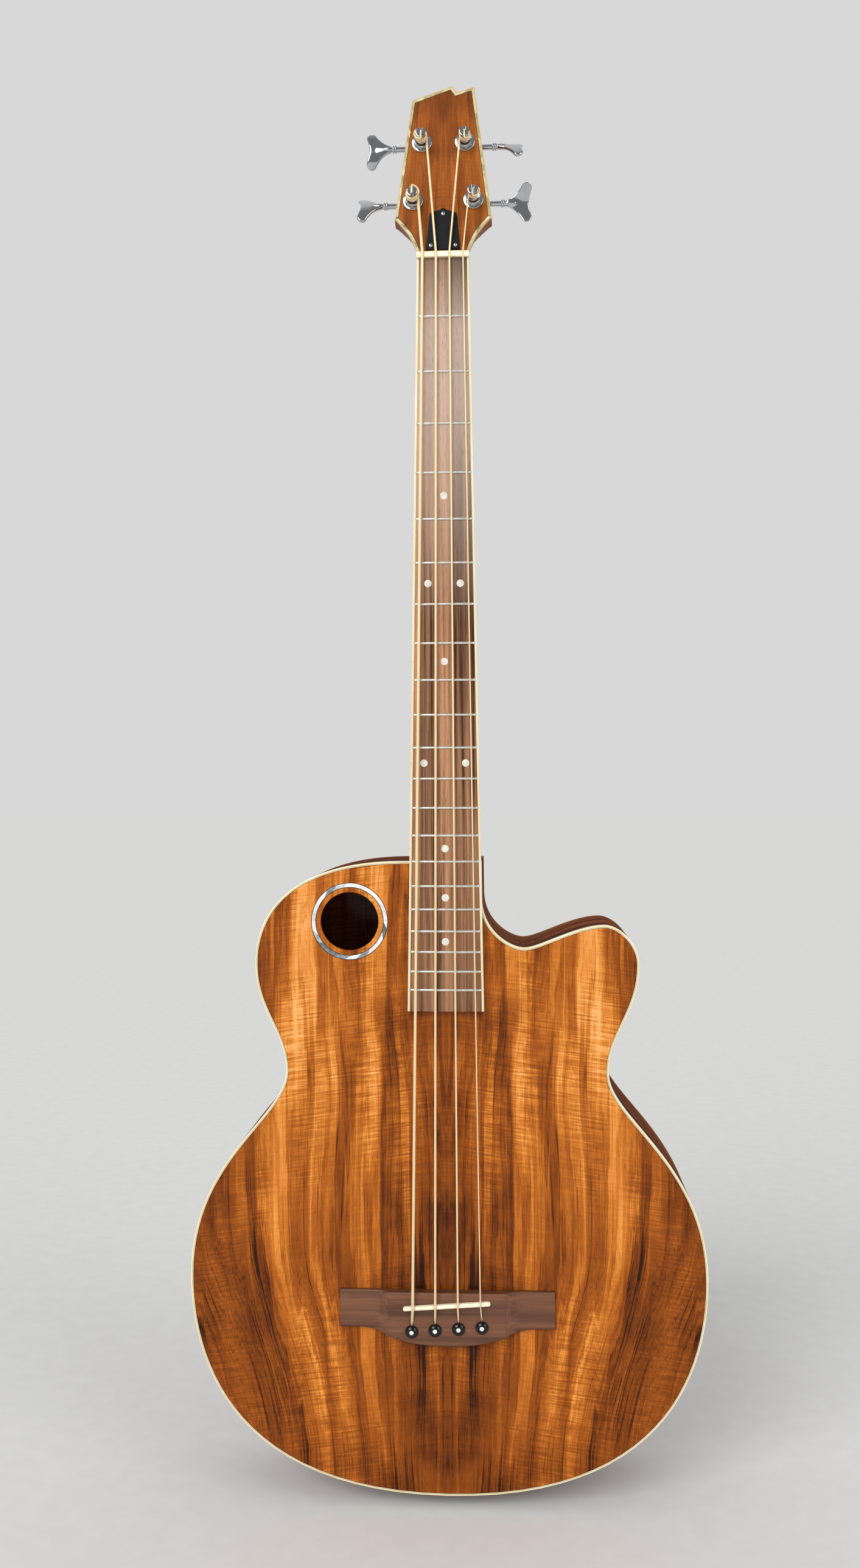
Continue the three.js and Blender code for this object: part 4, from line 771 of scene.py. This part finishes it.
# %% Saddle and pins
def saddle_sections():
    """Sections along the saddle: a blade with a rounded crown, its ends drawn in by a quarter round."""
    ends = SADDLE_THICK * (1 - np.cos(np.linspace(0.12, np.pi / 2, 8)))
    along = np.concatenate([-SADDLE_HALF + ends, np.linspace(-33, 33, 20), SADDLE_HALF - ends[::-1]])[:, None]
    drawn = np.sqrt(1 - np.clip(1 - (SADDLE_HALF - np.abs(along)) / SADDLE_THICK, 0, 1) ** 2)
    angle = np.linspace(0, np.pi, 13)
    z = SADDLE_THICK * drawn * np.cos(angle)
    crown = -72.2 - (1 - (along / 90) ** 2) * 1.2 * drawn * np.sin(angle)
    z = np.concatenate([z[:, :1], z, z[:, -1:]], 1)
    y = np.pad(crown, ((0, 0), (1, 1)), constant_values=-66.0)
    lean = math.atan(SLANT)
    return xyz(along * math.cos(lean) - z * math.sin(lean), y,
               saddle_z(0) + along * math.sin(lean) + z * math.cos(lean))


make("saddle_blade", [skin(saddle_sections(), caps=True)], bone, "saddle")

pin_shape = rounded([(0, -12.0), (1.4, -12.0), (2.9, -9.0), (2.9, 0), (4.6, 0), (5.3, 0.9), (5.3, 1.6),
                     (3.4, 3.4), (0, 3.7)], [0, 0.5, 0.5, 0, 0, 0.4, 0.6, 1.6, 0], 5)
dot_shape = rounded([(0, 2.6), (2.0, 2.6), (2.0, 3.52), (0, 3.74)], [0, 0, 0.25, 0], 3)
for name in "eadg":
    place = lambda p: p + [pin_x[name], BRIDGE_TOP, pin_z[name]]
    make(f"pin_{name}", [turned(pin_shape, 48, place)], gloss_black, f"bridge_pin_{name}")
    make(f"pin_dot_{name}", [turned(dot_shape, 32, place)], white_pearl)
print("pins at", {name: round(float(z), 1) for name, z in pin_z.items()})

# %% [markdown]
# ## Fingerboard, frets and dots
# The board's face is a long slice of a cylinder, so a chord lies easily under the fingers, and its edges are
# bound in cream. Frets are wires with a domed crown, pressed across it and filed to a slant at both ends.
# Small pearl dots mark some places. Each is a section carried across or along the board on the same curve.

# %% Fingerboard
BOARD_LOW, BOARD_HIGH, BOUND = NUT - BOARD_LENGTH, NUT - 0.1, 1.9


def board_strip(name, start, end, look, node, outer=0.0):
    """A strip of the board between two shares of its inner edge, or outer mm beyond the second one."""
    loops = []
    for z in (BOARD_LOW, BOARD_LOW + 0.5, BOARD_HIGH - 0.5, BOARD_HIGH):
        a, b = start * (board_half(z) - BOUND), end * (board_half(z) - BOUND + outer)
        x = np.linspace(a, b, 25)
        top = np.stack([x, BOARD_FACE + camber(x)], -1)
        if outer:
            top = rounded([(a, FACE), top[0], top[-1], (b, FACE)], [0, 0, 0.9, 0], 5)
        else:
            top = np.concatenate([[(a, FACE)], top, [(b, FACE)]])
        drop = 0.25 if z in (BOARD_LOW, BOARD_HIGH) else 0.0
        loops.append(xyz(top[:, 0], top[:, 1] + drop * (top[:, 1] < FACE - 1), z))
    return make(name, [skin(np.stack(loops), caps=True)], look, node, sharp=25)


board_strip("board", -1, 1, rosewood, "fingerboard")
for side, sign in (("bass", -1), ("treble", 1)):
    node_name = f"fingerboard_binding_{side}"
    board_strip(f"board_binding_{side}", sign, sign, cream, node_name, BOUND)
print("board from", round(BOARD_LOW, 1), "to", round(BOARD_HIGH, 1), "mm up")

# %% Frets and dots
def fret_sections(z, half):
    """Sections across the board of one fret: a half round 2.3 mm wide, sloping down at both filed ends."""
    ends = np.array([0, 0.35, 0.8, 1.3])
    along = np.concatenate([ends - half, np.linspace(-half + 3, half - 3, 15), half - ends[::-1]])[:, None]
    rise = np.clip((half - np.abs(along)) / 1.1, 0.12, 1)
    angle = np.linspace(0, np.pi, 11)
    zs = z + 1.15 * (0.75 + 0.25 * rise) * np.cos(angle)
    board = BOARD_FACE + camber(along)
    ys = board - 1.2 * rise * np.sin(angle) ** 0.8
    return xyz(along, np.concatenate([ys, board + 0.5, board + 0.5], 1),
               np.concatenate([zs, zs[:, -1:], zs[:, :1]], 1))


fret_z = NUT - fret_distance(np.arange(FRETS + 1))
for number in range(1, FRETS + 1):
    z = float(fret_z[number])
    make(f"fret_{number:02d}", [skin(fret_sections(z, board_half(z) - 1.55), caps=True)], nickel)

dot_profile = [(0, -1), (3.05, -1), (3.05, 0.02), (2.9, 0.04), (0, 0.05)]
side_profile = [(0, -1), (1.1, -1), (1.1, 0.02), (0, 0.05)]
dots = {5: (0,), 7: (-13.4, 13.4), 9: (0,), 12: (-17.3, 17.3), 15: (0,), 17: (0,), 19: (0,)}
for number, places in dots.items():
    between = float(fret_z[number - 1] + fret_z[number]) / 2
    for index, x in enumerate(places):
        on_board = lambda p: p + xyz(x, BOARD_FACE + camber(p[..., 0] + x), between)
        make(f"dot_{number:02d}_{index + 1}", [turned(dot_profile, 40, on_board)], white_pearl)
        if index == 0:
            on_side = lambda p: p[..., [1, 0, 2]] + [-board_half(between), -64.6, between]
            make(f"side_dot_{number:02d}", [turned(side_profile, 24, on_side)], fibre)
print("frets:", FRETS, "last one", round(float(fret_z[-1] - BOARD_LOW), 2), "mm from the board's end")

# %% [markdown]
# ## Nut
# The nut is a bone block with a round-bottomed slot for each string. A section of its front-to-back shape is
# carried across the board, and its top drops where a slot crosses it.

# %% Nut
def nut_sections():
    """Sections across the nut: a block whose top is rounded to the board side and lowered in the slots."""
    half, front, slot_floor = NUT_WIDTH / 2, -70.1, -68.85
    slots = [(nut_x[name], gauge / 2 + 0.12) for name, gauge, *_ in STRINGS]
    end = half - np.array([0, 0.15, 0.5])
    round_slot = np.outer([-1, 1], [1.02, 1.0, 0.85, 0.6, 0.3, 0]).ravel()
    xs = [-end, end, np.linspace(-half + 1, half - 1, 30)] + [centre + r * round_slot for centre, r in slots]
    xs = np.unique(np.round(np.concatenate(xs), 4))
    corner = np.clip(1 - (half - np.abs(xs)) / 0.5, 0, 1)
    top = front + camber(xs, 300.0) + 0.6 * (1 - np.sqrt(1 - corner ** 2))
    for centre, r in slots:
        deep = slot_floor - r + np.sqrt(np.clip(r ** 2 - (xs - centre) ** 2, 0, None))
        top = np.where(np.abs(xs - centre) <= r, np.maximum(top, deep), top)
    z, fall = rounded([(0, 1), (0, 0), (5.0, 0.5), (5.0, 1)], [0, 0.7, 0.9, 0], 5).T
    top = top[:, None]
    return xyz(xs[:, None], np.where(fall >= 1, FACE, top + fall), NUT - 0.05 + z)


make("nut_block", [skin(nut_sections(), caps=True)], bone, "nut", sharp=40)
print("nut slots at", {name: round(float(x), 1) for name, x in nut_x.items()})

# %% [markdown]
# ## Neck and head
# The neck is carved from one mahogany blank: a round-backed shaft that swells into the heel against the
# body and flattens into the head. Rings along it are half ellipses, pinched at the heel. From the nut to
# the head's widest place they turn step by step into the head's own section: upright sides, a rounded edge
# and a flat back.

# %% Neck
HEEL, HEEL_DEPTH, SHAFT_LOW, SHAFT_HIGH = 62, 94, 20, 15.6
HEAD_FLARE = np.array([(0, 0), (0.02, 0.07), (0.13, 0.25), (0.32, 0.5), (0.62, 0.76), (0.9, 0.96), (1, 1)])
flare = through(HEAD_FLARE * [18.75, 30.5] + [NUT_WIDTH / 2, 0], 6)
crown = np.array([(-26.5, 137.9), (7.1, 150.3), (11.0, 144.3), (26.0, 149.1)])
head_shape = np.concatenate([flare * [-1, 1], crown, flare[::-1]])
back_edge = [(0, 0), (0, 11.4), (0.25, 12.2), (0.8, 12.8), (1.6, 13.0), (2.4, 13.0)]


def neck_rings(steps=48):
    """Half ellipses that swell into the heel by a sine, blended above the nut with the head's section."""
    angle = np.linspace(0, np.pi, steps + 1)
    heel = JOINT + 0.05 + np.linspace(0, 1, 30) ** 1.3 * HEEL
    z = np.concatenate([heel, np.linspace(heel[-1], HEAD_FOOT, 14)[1:]])[:, None]
    shaft = SHAFT_LOW + (SHAFT_HIGH - SHAFT_LOW) * (z - JOINT) / (HEAD_FOOT - 0.3 - JOINT)
    swell = (1 - np.sin(np.clip((z - JOINT) / HEEL, 0, 1) * np.pi / 2)) ** 1.2
    down = np.sin(angle)
    half = board_half(np.minimum(z, NUT)) * (1 - 0.5 * down * swell)
    body = xyz(np.cos(angle) * half, FACE + (shaft + (HEEL_DEPTH - shaft) * swell) * down, z)
    share = np.linspace(0.05, 1, 24)[:, None]
    up = share * flare[-1, 1]
    wide = np.interp(up, flare[:, 1], flare[:, 0])
    share = share ** 2 * (3 - 2 * share)
    # The section's corners take points 8 to 12 of each half, and the flat back the rest
    place = np.minimum(np.arange(steps + 1), steps - np.arange(steps + 1))
    edge, deep = (np.interp(place, [0, 8, 9, 10, 11, 12], side) for side in zip(*back_edge))
    square = np.where(place < 12, wide - edge, (wide - edge) * (steps / 2 - place) / (steps / 2 - 12))
    x = (1 - share) * wide * np.cos(angle) + share * square * np.sign(steps / 2 - np.arange(steps + 1))
    y = (1 - share) * SHAFT_HIGH * down + share * deep
    return np.concatenate([body, on_head(xyz(x, y, up))])


def head_inset(distance, line):
    """A line of the head's outline moved inwards, with both ends kept at their height."""
    longer = np.concatenate([line[:1] - [0, 8], line, line[-1:] - [0, 8]])
    moved = inset(longer, distance)[1:-1]
    moved[[0, -1], 1] = line[0, 1]
    return moved


make("neck_shaft", [skin(neck_rings(), caps=True)], mahogany, "neck")
above = head_shape[len(flare) - 1:1 - len(flare)]
core = np.stack([laid(head_inset(far, above), depth, on_head) for far, depth in back_edge])
far, depth = back_edge[-1]
core_faces = [flat_face([above], 0, on_head), flat_face([head_inset(far, above)], depth, on_head)]
make("head_core", [skin(core), *core_faces], mahogany)
print("head outline:", len(head_shape), "points")

# %% [markdown]
# ## The head's face
# The front of the head is a thin koa veneer with a border: a tan binding, a strip of pearl slips and a black
# line. The strips follow the outline from one end of the nut round to the other.

# %% The head's face
def head_band(name, start, end, look, node=()):
    """A strip of the head's border between two insets, from one end of the nut round to the other."""
    outer, inner = head_inset(start, head_shape), head_inset(end, head_shape)
    corners = [(outer, 0), (outer, VENEER + 0.15 * (start == 0)), (inner, VENEER), (inner, 0)]
    loops = np.stack([laid(line, depth, on_head) for line, depth in corners], 1)
    lay = xyz(measured(head_shape), np.array([0, 0, 1.6, 1.6]), 0)
    return make(name, [skin(loops, caps=True, lay=lay)], look, node)


head_band("head_binding", 0.0, 0.7, tan, "headstock_binding")
head_band("head_pearl", 0.7, 2.5, border_pearl)
head_band("head_line", 2.5, 3.0, fibre)
veneer_line = head_inset(3.0, head_shape)
veneer_loops = np.stack([laid(veneer_line, depth, on_head) for depth in (0, VENEER)])
veneer_faces = [flat_face([veneer_line], depth, on_head) for depth in (0, VENEER)]
make("head_veneer", [skin(veneer_loops), *veneer_faces], head_koa, "headstock_veneer")
print("border", round(float(measured(head_shape)[-1, 0])), "mm long")

# %% [markdown]
# ## Truss rod cover
# A bell-shaped black plate over the adjusting nut of the truss rod, held by three small round-head screws.

# %% Truss rod cover
COVER = 1.6
bell = bezier((12, 28.5), (12, 39.6), (6, 34.05), (0, 39.6), 14)
bell = np.concatenate([[(-14.4, 2.4), (14.4, 2.4)], bell, [(0, 39.6)], bell[::-1] * [-1, 1]])
cover_edge = rounded([(0, 0), (0, COVER), (1.2, COVER)], [0, 0.5, 0], 5)
cover_loops = edge_loops(bell, cover_edge * [1, -1] + [0, VENEER], on_head)
make("rod_cover", [skin(cover_loops, caps=True)], satin_black, "truss_rod_cover")
screw_shape = [(0, -2), (0.9, -2), (0.9, 0.05), (1.7, 0.05), (1.7, 0.25), (1.45, 0.6), (1.0, 0.85),
               (0.5, 0.94), (0, 0.95)]
for number, (x, up) in enumerate(((-10.2, 6), (10.2, 6), (0, 34.1)), 1):
    place = lambda p: on_head(p + [x, VENEER - COVER, up])
    screw = [turned(screw_shape, 32, place)]
    make(f"cover_screw_head_{number}", screw, chrome, f"cover_screw_{number}")
print("cover of", len(bell), "points with", number, "screws")

# %% [markdown]
# ## Tuning machines
# Each machine is a round post that the string winds on, turned by a worm in a closed chromed housing behind
# the head, and by a key with a wide button. A hexagonal bushing with a flange holds the post in front.
# The hexagon's corners are taken off by a cone, as on every nut: the height of its rim falls with distance.

# %% Bushings and posts
POSTS = {"e": (-25.3, 46.8), "a": (-18.1, 99.0), "d": (18.1, 99.0), "g": (25.3, 46.8)}
WAIST, CAP, CAP_LOW, POST_TOP, SHAFT_DEPTH, SHAFT_UP = 2.9, 4.5, 14.105, 16.105, 19.5, 8.3


def bushing(place):
    """Flange, chamfered hexagon and the face inside its rim."""
    flange = rounded([(0, 0), (8.5, 0), (8.5, 1.2), (6.0, 1.35)], [0, 0, 0.5, 0], 4)
    angle = np.linspace(0, 2 * np.pi, 96, endpoint=False)
    sixth = math.pi / 3
    hexagon = 7.2 * math.cos(sixth / 2) / np.cos((angle + sixth / 2) % sixth - sixth / 2)
    rows = [(hexagon, 1.2), (hexagon, 5.0 - 0.9 * (hexagon - 6.0)), (6.0, 5.0), (4.75, 5.1), (4.35, 4.9),
            (4.35, 1.0)]
    loops = np.stack([xyz(r * np.cos(angle), -h, r * np.sin(angle)) for r, h in rows])
    return [turned(flange, 64, place), skin(place(loops), caps=True)]


def post(place):
    """A turned post with a waist, and its slotted cap as two halves of a disc beside a 2 mm gap."""
    foot = POST_TOP - 1.5
    shape = rounded([(0, -20), (4, -20), (4, 5.2), (WAIST, 6.6), (WAIST, 12.2), (CAP, CAP_LOW + 0.2),
                     (CAP, foot), (0, foot)], [0, 0, 0.4, 2, 3, 0.5, 0, 0], 5)
    reach = np.linspace(-math.acos(1 / CAP), math.acos(1 / CAP), 21)
    section = [(0, -foot), (0, 0.45 - POST_TOP), (0.12, 0.15 - POST_TOP), (0.4, -POST_TOP), (0.8, -POST_TOP)]
    halves = [CAP * np.stack([sign * np.cos(reach), np.sin(reach)], -1) for sign in (-1, 1)]
    return [turned(shape, 48, place)] + [skin(edge_loops(half, section, place), caps=True) for half in halves]


print("posts stand at", POSTS)

# %% Housings and keys
def housing(place, side):
    """A cast gear housing: a rounded block, the boss that the key's shaft runs in and the gear's screw."""
    line = rounded([(0, -7.3), (7.6, -7.3), (7.6, 12.8), (-7.6, 12.8), (-7.6, -7.3), (0, -7.3)], 3.2, 6)[:-1]
    section = [(0, 13.0), (0, 23.0), (0.2, 24.2), (0.7, 25.1), (1.4, 25.6), (2.3, 25.7)]
    boss = rounded([(0, 5), (4.2, 5), (4.2, 11.6), (0, 11.6)], [0, 0, 0.6, 0], 4)
    aside = lambda p: place(p[..., [1, 0, 2]] * [-side, 1, 1] + [0, SHAFT_DEPTH, SHAFT_UP])
    screw = rounded([(0, 0), (2.6, 0), (2.6, 0.7), (0.9, 1.0), (0.9, 0.5), (0, 0.5)],
                    [0, 0, 0.4, 0.2, 0, 0], 4)
    behind = lambda p: place(p * [1, -1, 1] + [0, 25.6, 0])
    case = skin(edge_loops(line, section, place), caps=True)
    return [case, turned(boss, 40, aside), turned(screw, 32, behind)]


def key_parts(place):
    """Shaft with two collars, and a button drawn line by line across the shaft, both ears bent one way."""
    shaft = rounded([(0, -5), (2.3, -5), (2.3, 23), (3.2, 23), (3.2, 24.4), (2.3, 24.4), (2.3, 24.9),
                     (3.2, 24.9), (3.2, 26.3), (2.3, 26.3), (2.3, 27.2), (2.7, 29.6), (2.0, 36.0), (0, 39.0)],
                    [0, 0, 0, 0.3, 0.3, 0, 0, 0.3, 0.3, 0, 0.6, 1.5, 2.5, 0], 4)
    along_x = lambda p: place(p[..., [1, 0, 2]] * [-1, 1, 1])
    reach, lobe_at, lobe_radius, fork = 16.0, np.array([17.7, 11.3]), 4.7, np.array([14.377, 14.623])
    t = np.sin(np.linspace(-np.pi / 2, np.pi / 2, 81))[:, None]
    y = np.abs(t) * reach
    bow = np.linspace(0, 1, 60)[:, None]
    curve = (1 - bow) ** 2 * [0, 2.3] + 2 * bow * (1 - bow) * [8.85, 4.65] + bow ** 2 * fork
    lobe = np.sqrt(np.clip(lobe_radius ** 2 - (y - lobe_at[1]) ** 2, 0, None))
    inner = np.where(y < fork[1], np.interp(y, curve[:, 1], curve[:, 0]), lobe_at[0] - lobe)
    outer = np.where(y < lobe_at[1], 19.7 + 2.7 * (y / lobe_at[1]) ** 1.5, lobe_at[0] + lobe)
    s = (1 - np.cos(np.linspace(0, np.pi, 33))) / 2
    x = 26.8 + inner + (outer - inner) * s
    room = np.minimum.reduce(np.broadcast_arrays((outer - inner) * s, (outer - inner) * (1 - s), reach - y))
    hub = 1.1 * np.exp(-(y / 3.2) ** 2) * np.clip(1 - (x - 27) / 14, 0, 1)
    thick = 1.3 * np.sqrt(1 - np.clip(1 - room / 1.3, 0, 1) ** 2) + hub * np.clip(room / 2, 0, 1)
    faces = [xyz(x, 4 * t ** 2 + sign * thick, t * reach) for sign in (-1, 1)]
    return [turned(shaft, 40, along_x), *(skin(place(face), round_columns=False) for face in faces)]


print("grids in a key:", len(key_parts(lambda p: p)))

# %% The four machines
for name, _, side, _, key_turn in STRINGS:
    out, up = POSTS[name]
    on_post = lambda p: on_head(p + [out, VENEER, up])
    behind_post = lambda p: on_head(p + [out, 0, up])
    angle = math.radians(key_turn)

    def on_key(p):
        """Turns a key's own frame to its side of the head and by its angle, and sets it on its shaft."""
        x, y, z = np.moveaxis(p * [side, side, 1], -1, 0)
        return behind_post(xyz(x, SHAFT_DEPTH + math.cos(angle) * y - math.sin(angle) * z,
                               SHAFT_UP + math.sin(angle) * y + math.cos(angle) * z))

    make(f"bushing_{name}", bushing(on_post), chrome, f"tuner_bushing_{name}")
    make(f"post_{name}", post(on_post), chrome, f"tuner_post_{name}", f"post_{name}")
    make(f"gear_case_{name}", housing(behind_post, side), chrome, f"tuner_housing_{name}")
    make(f"key_{name}", key_parts(on_key), chrome, f"tuner_key_{name}", f"key_{name}")
print("tuning machines:", len(STRINGS))

# %% [markdown]
# ## Strings
# A bass string is a steel core with bronze wire wound round it. It rises from its pin over the saddle, runs
# straight to the nut, bends down to the leaning head and winds round its post from the bottom up, with its
# end in the post's slot. It could be a curve with a bevel, but a tube of rings keeps the length of string at
# every point, which the winding's ridges follow.

# %% Tube and winding
WINDING_GAP = 0.45


def tube(path, radius, sides=14):
    """Rings round a path. The frame is carried from point to point without twist, and each ring is mitred."""
    ahead = np.diff(path, axis=0)
    ahead /= np.linalg.norm(ahead, axis=1)[:, None]
    along = np.concatenate([ahead[:1], ahead[:-1] + ahead[1:], ahead[-1:]])
    along /= np.linalg.norm(along, axis=1)[:, None]
    across = np.array([1.0, 0, 0])
    turns = []
    for direction in along:
        across = across - direction * (across @ direction)
        across /= np.linalg.norm(across)
        turns.append((across, np.cross(direction, across)))
    first, second = (np.array(group)[:, None] for group in zip(*turns))
    angle = np.linspace(0, 2 * np.pi, sides, endpoint=False)
    circles = np.cos(angle)[:, None] * first + np.sin(angle)[:, None] * second
    return skin(path[:, None] + radius[:, None, None] * circles, caps=True, lay=xyz(measured(path), angle, 0))


def winding(name, gauge, side, turns):
    """A circle round the post that rises by a gauge and a gap each turn, from where the string meets it."""
    out, up = POSTS[name]
    radius = gauge / 2
    wind = WAIST + 0.3 + radius
    step = gauge + WINDING_GAP
    low = CAP_LOW - 0.3 - radius - turns * step
    reach = np.array([nut_x[name] - out, -up])
    meet = math.atan2(reach[1], reach[0]) - side * math.acos(wind / np.linalg.norm(reach))
    turn = np.linspace(0, turns, int(turns * 40))
    swing = meet - side * turn * 2 * np.pi
    coil = xyz(out + wind * np.cos(swing), VENEER - low - step * turn, up + wind * np.sin(swing))
    # From the last turn the end climbs beside the cap and lies in its slot, which runs up and down
    last = swing[-1]
    climb = np.linspace(0, 1, 16)[1:]
    round_cap = last - side * ((last * side - math.pi / 2) % math.pi) * climb
    away = wind + (max(wind, CAP + 0.9) - wind) * np.minimum(1, climb * 3)
    slot = VENEER - POST_TOP + 0.75
    rise = coil[-1, 1] + (slot - coil[-1, 1]) * climb ** 1.3
    end = xyz(out + away * np.cos(round_cap), rise, up + away * np.sin(round_cap))
    tail = end[-1] + ([out, slot, up] - end[-1]) * np.array([0.35, 0.7, 1.3])[:, None]
    return coil, np.concatenate([end, tail])


print("points on the first winding:", len(winding(*STRINGS[0][:4])[0]))

# %% The four strings
ON_SADDLE, IN_NUT = -73.35, -68.9
for name, gauge, side, turns, _ in STRINGS:
    radius = gauge / 2
    coil, end = winding(name, gauge, side, turns)
    pin, over, nut = pin_x[name], (saddle_x[name], ON_SADDLE - radius), (nut_x[name], IN_NUT - radius)
    lowest, crown = BRIDGE_TOP + 0.3 + radius, saddle_z(saddle_x[name])
    drop = pin_z[name] + 3.3 - radius
    run = rounded([(pin, -58, drop), (pin, lowest + radius, drop), (pin, lowest, pin_z[name] + 5.3),
                   (*over, crown - 1.0), (*over, crown + 1.0), (*nut, NUT + 0.5), (*nut, NUT + 4.5),
                   on_head(coil[0])], [0, 0.8, 1.2, 1.0, 1.0, 0.8, 1.5, 0], 4)
    path = np.concatenate([run[:-1], on_head(coil), on_head(end)])
    path = path[np.append(True, np.linalg.norm(np.diff(path, axis=0), axis=1) > 0.01)]
    width = np.full(len(path), radius)
    width[-len(end):] = np.linspace(radius, min(radius, 0.75), len(end))
    make(f"wound_string_{name}", [tube(path, width)], bronze, f"string_{name}", sharp=60)
print("strings:", [f"{name} {gauge} mm" for name, gauge, *_ in STRINGS])

# %% [markdown]
# ## Strap button
# A turned and chromed button screwed into the tail block: a wide face, a waist for the strap and a base.

# %% Strap button
button = rounded([(0, 0), (7, 0), (7, 3), (4.2, 4.6), (4.2, 7.6), (6.5, 9.4), (6.5, 12.0), (0, 12.0)],
                 [0, 1.3, 0.9, 1.4, 1.4, 0.8, 0.3, 0], 6)
upright = lambda p: p[..., [0, 2, 1]] * [1, 1, -1]
make("strap_knob", [turned(button, 64, upright)], chrome, "strap_button")
print("strap button", button[-1, 1], "mm long")

# %% [markdown]
# ## Inside the box
# Blocks, linings, braces and the truss rod are seen only through the sound hole. Their CAD solids are right
# as they are, so they only get their woods and metal.

# %% Finishes for the CAD solids that stay
inner = {"block": raw_mahogany, "lining": raw_mahogany, "brace": spruce, "tone_bar": spruce,
         "bridge_plate": bridge_wood, "truss_rod": steel}
for node_name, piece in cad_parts.items():
    found = [look for part, look in inner.items() if part in node_name]
    if found and not piece.hide_render:
        piece.data.materials.clear()
        piece.data.materials.append(found[0])
        print(node_name, "is", found[0].name)

# %% [markdown]
# ## Floor, light and backdrop
# The studio is a pale floor under a pale, even sky. Two broad suns give soft shadows and are as bright
# everywhere, so that the floor runs into the backdrop. Together they light a surface that faces the camera
# to about its written colour. For the camera the sky is the floor's own pale grey. Reflections show the same
# pale backdrop behind the guitar, and a darker room behind the camera, which gives the chrome its contrast.

# %% Floor
floor_mesh = bpy.data.meshes.new("floor")
corners = [(30 * x, 30 * y, -0.0005) for x, y in ((-1, -1), (1, -1), (1, 1), (-1, 1))]
floor_mesh.from_pydata(corners, [], [(0, 1, 2, 3)])
floor = bpy.data.objects.new("floor", floor_mesh)
bpy.context.scene.collection.objects.link(floor)
paper, node = material("matt_paper_floor", Roughness=0.9, Specular_IOR_Level=0.0)
fibres = spread(node, millimetres(node), (0.05, 0.05, 0.05), Detail=4.0)
greys = node("ValToRGB", [fibres], stops=[(0.3, "#E3E3E2"), (0.7, "#E7E7E6")])
floor.data.materials.append(dress(paper, greys))
print("floor", floor.dimensions.x, "m wide")

# %% Suns
suns = {"key_sun": ((0.42, 0.78, -0.46), 1.7), "fill_sun": ((-0.70, 0.62, -0.35), 0.7)}
for name, (towards, strength) in suns.items():
    lamp = bpy.data.lights.new(name, "SUN")
    lamp.energy, lamp.angle = strength, math.radians(35)
    sun = bpy.data.objects.new(name, lamp)
    sun.rotation_mode = "QUATERNION"
    sun.rotation_quaternion = Vector(towards).to_track_quat("-Z", "Y")
    bpy.context.scene.collection.objects.link(sun)
print("suns:", sorted(suns))

# %% Sky
world = bpy.data.worlds.new("studio")
world.use_nodes = True
sky = world.node_tree
light_path = add(sky, "LightPath")
towards = add(sky, "SeparateXYZ", [add(sky, "TexCoord").outputs["Generated"]])
room = add(sky, "MapRange", [towards.outputs[1], -0.35, 0.2, 0.24, 0.687], interpolation_type="SMOOTHSTEP")
bounced = [light_path.outputs["Is Glossy Ray"], light_path.outputs["Is Transmission Ray"]]
mirrored = add(sky, "Math ADD", bounced, use_clamp=True)
level = add(sky, "Mix", [mirrored, 0.55, room], data_type="FLOAT")
level = add(sky, "Mix", [light_path.outputs["Is Camera Ray"], level, 0.687], data_type="FLOAT")
sky.links.new(level.outputs[0], sky.nodes["Background"].inputs["Strength"])
sky.nodes["Background"].inputs["Color"].default_value = (1, 1, 1, 1)
bpy.context.scene.world = world
bpy.context.scene.view_settings.view_transform = "Standard"
print("nodes of the sky:", len(sky.nodes))
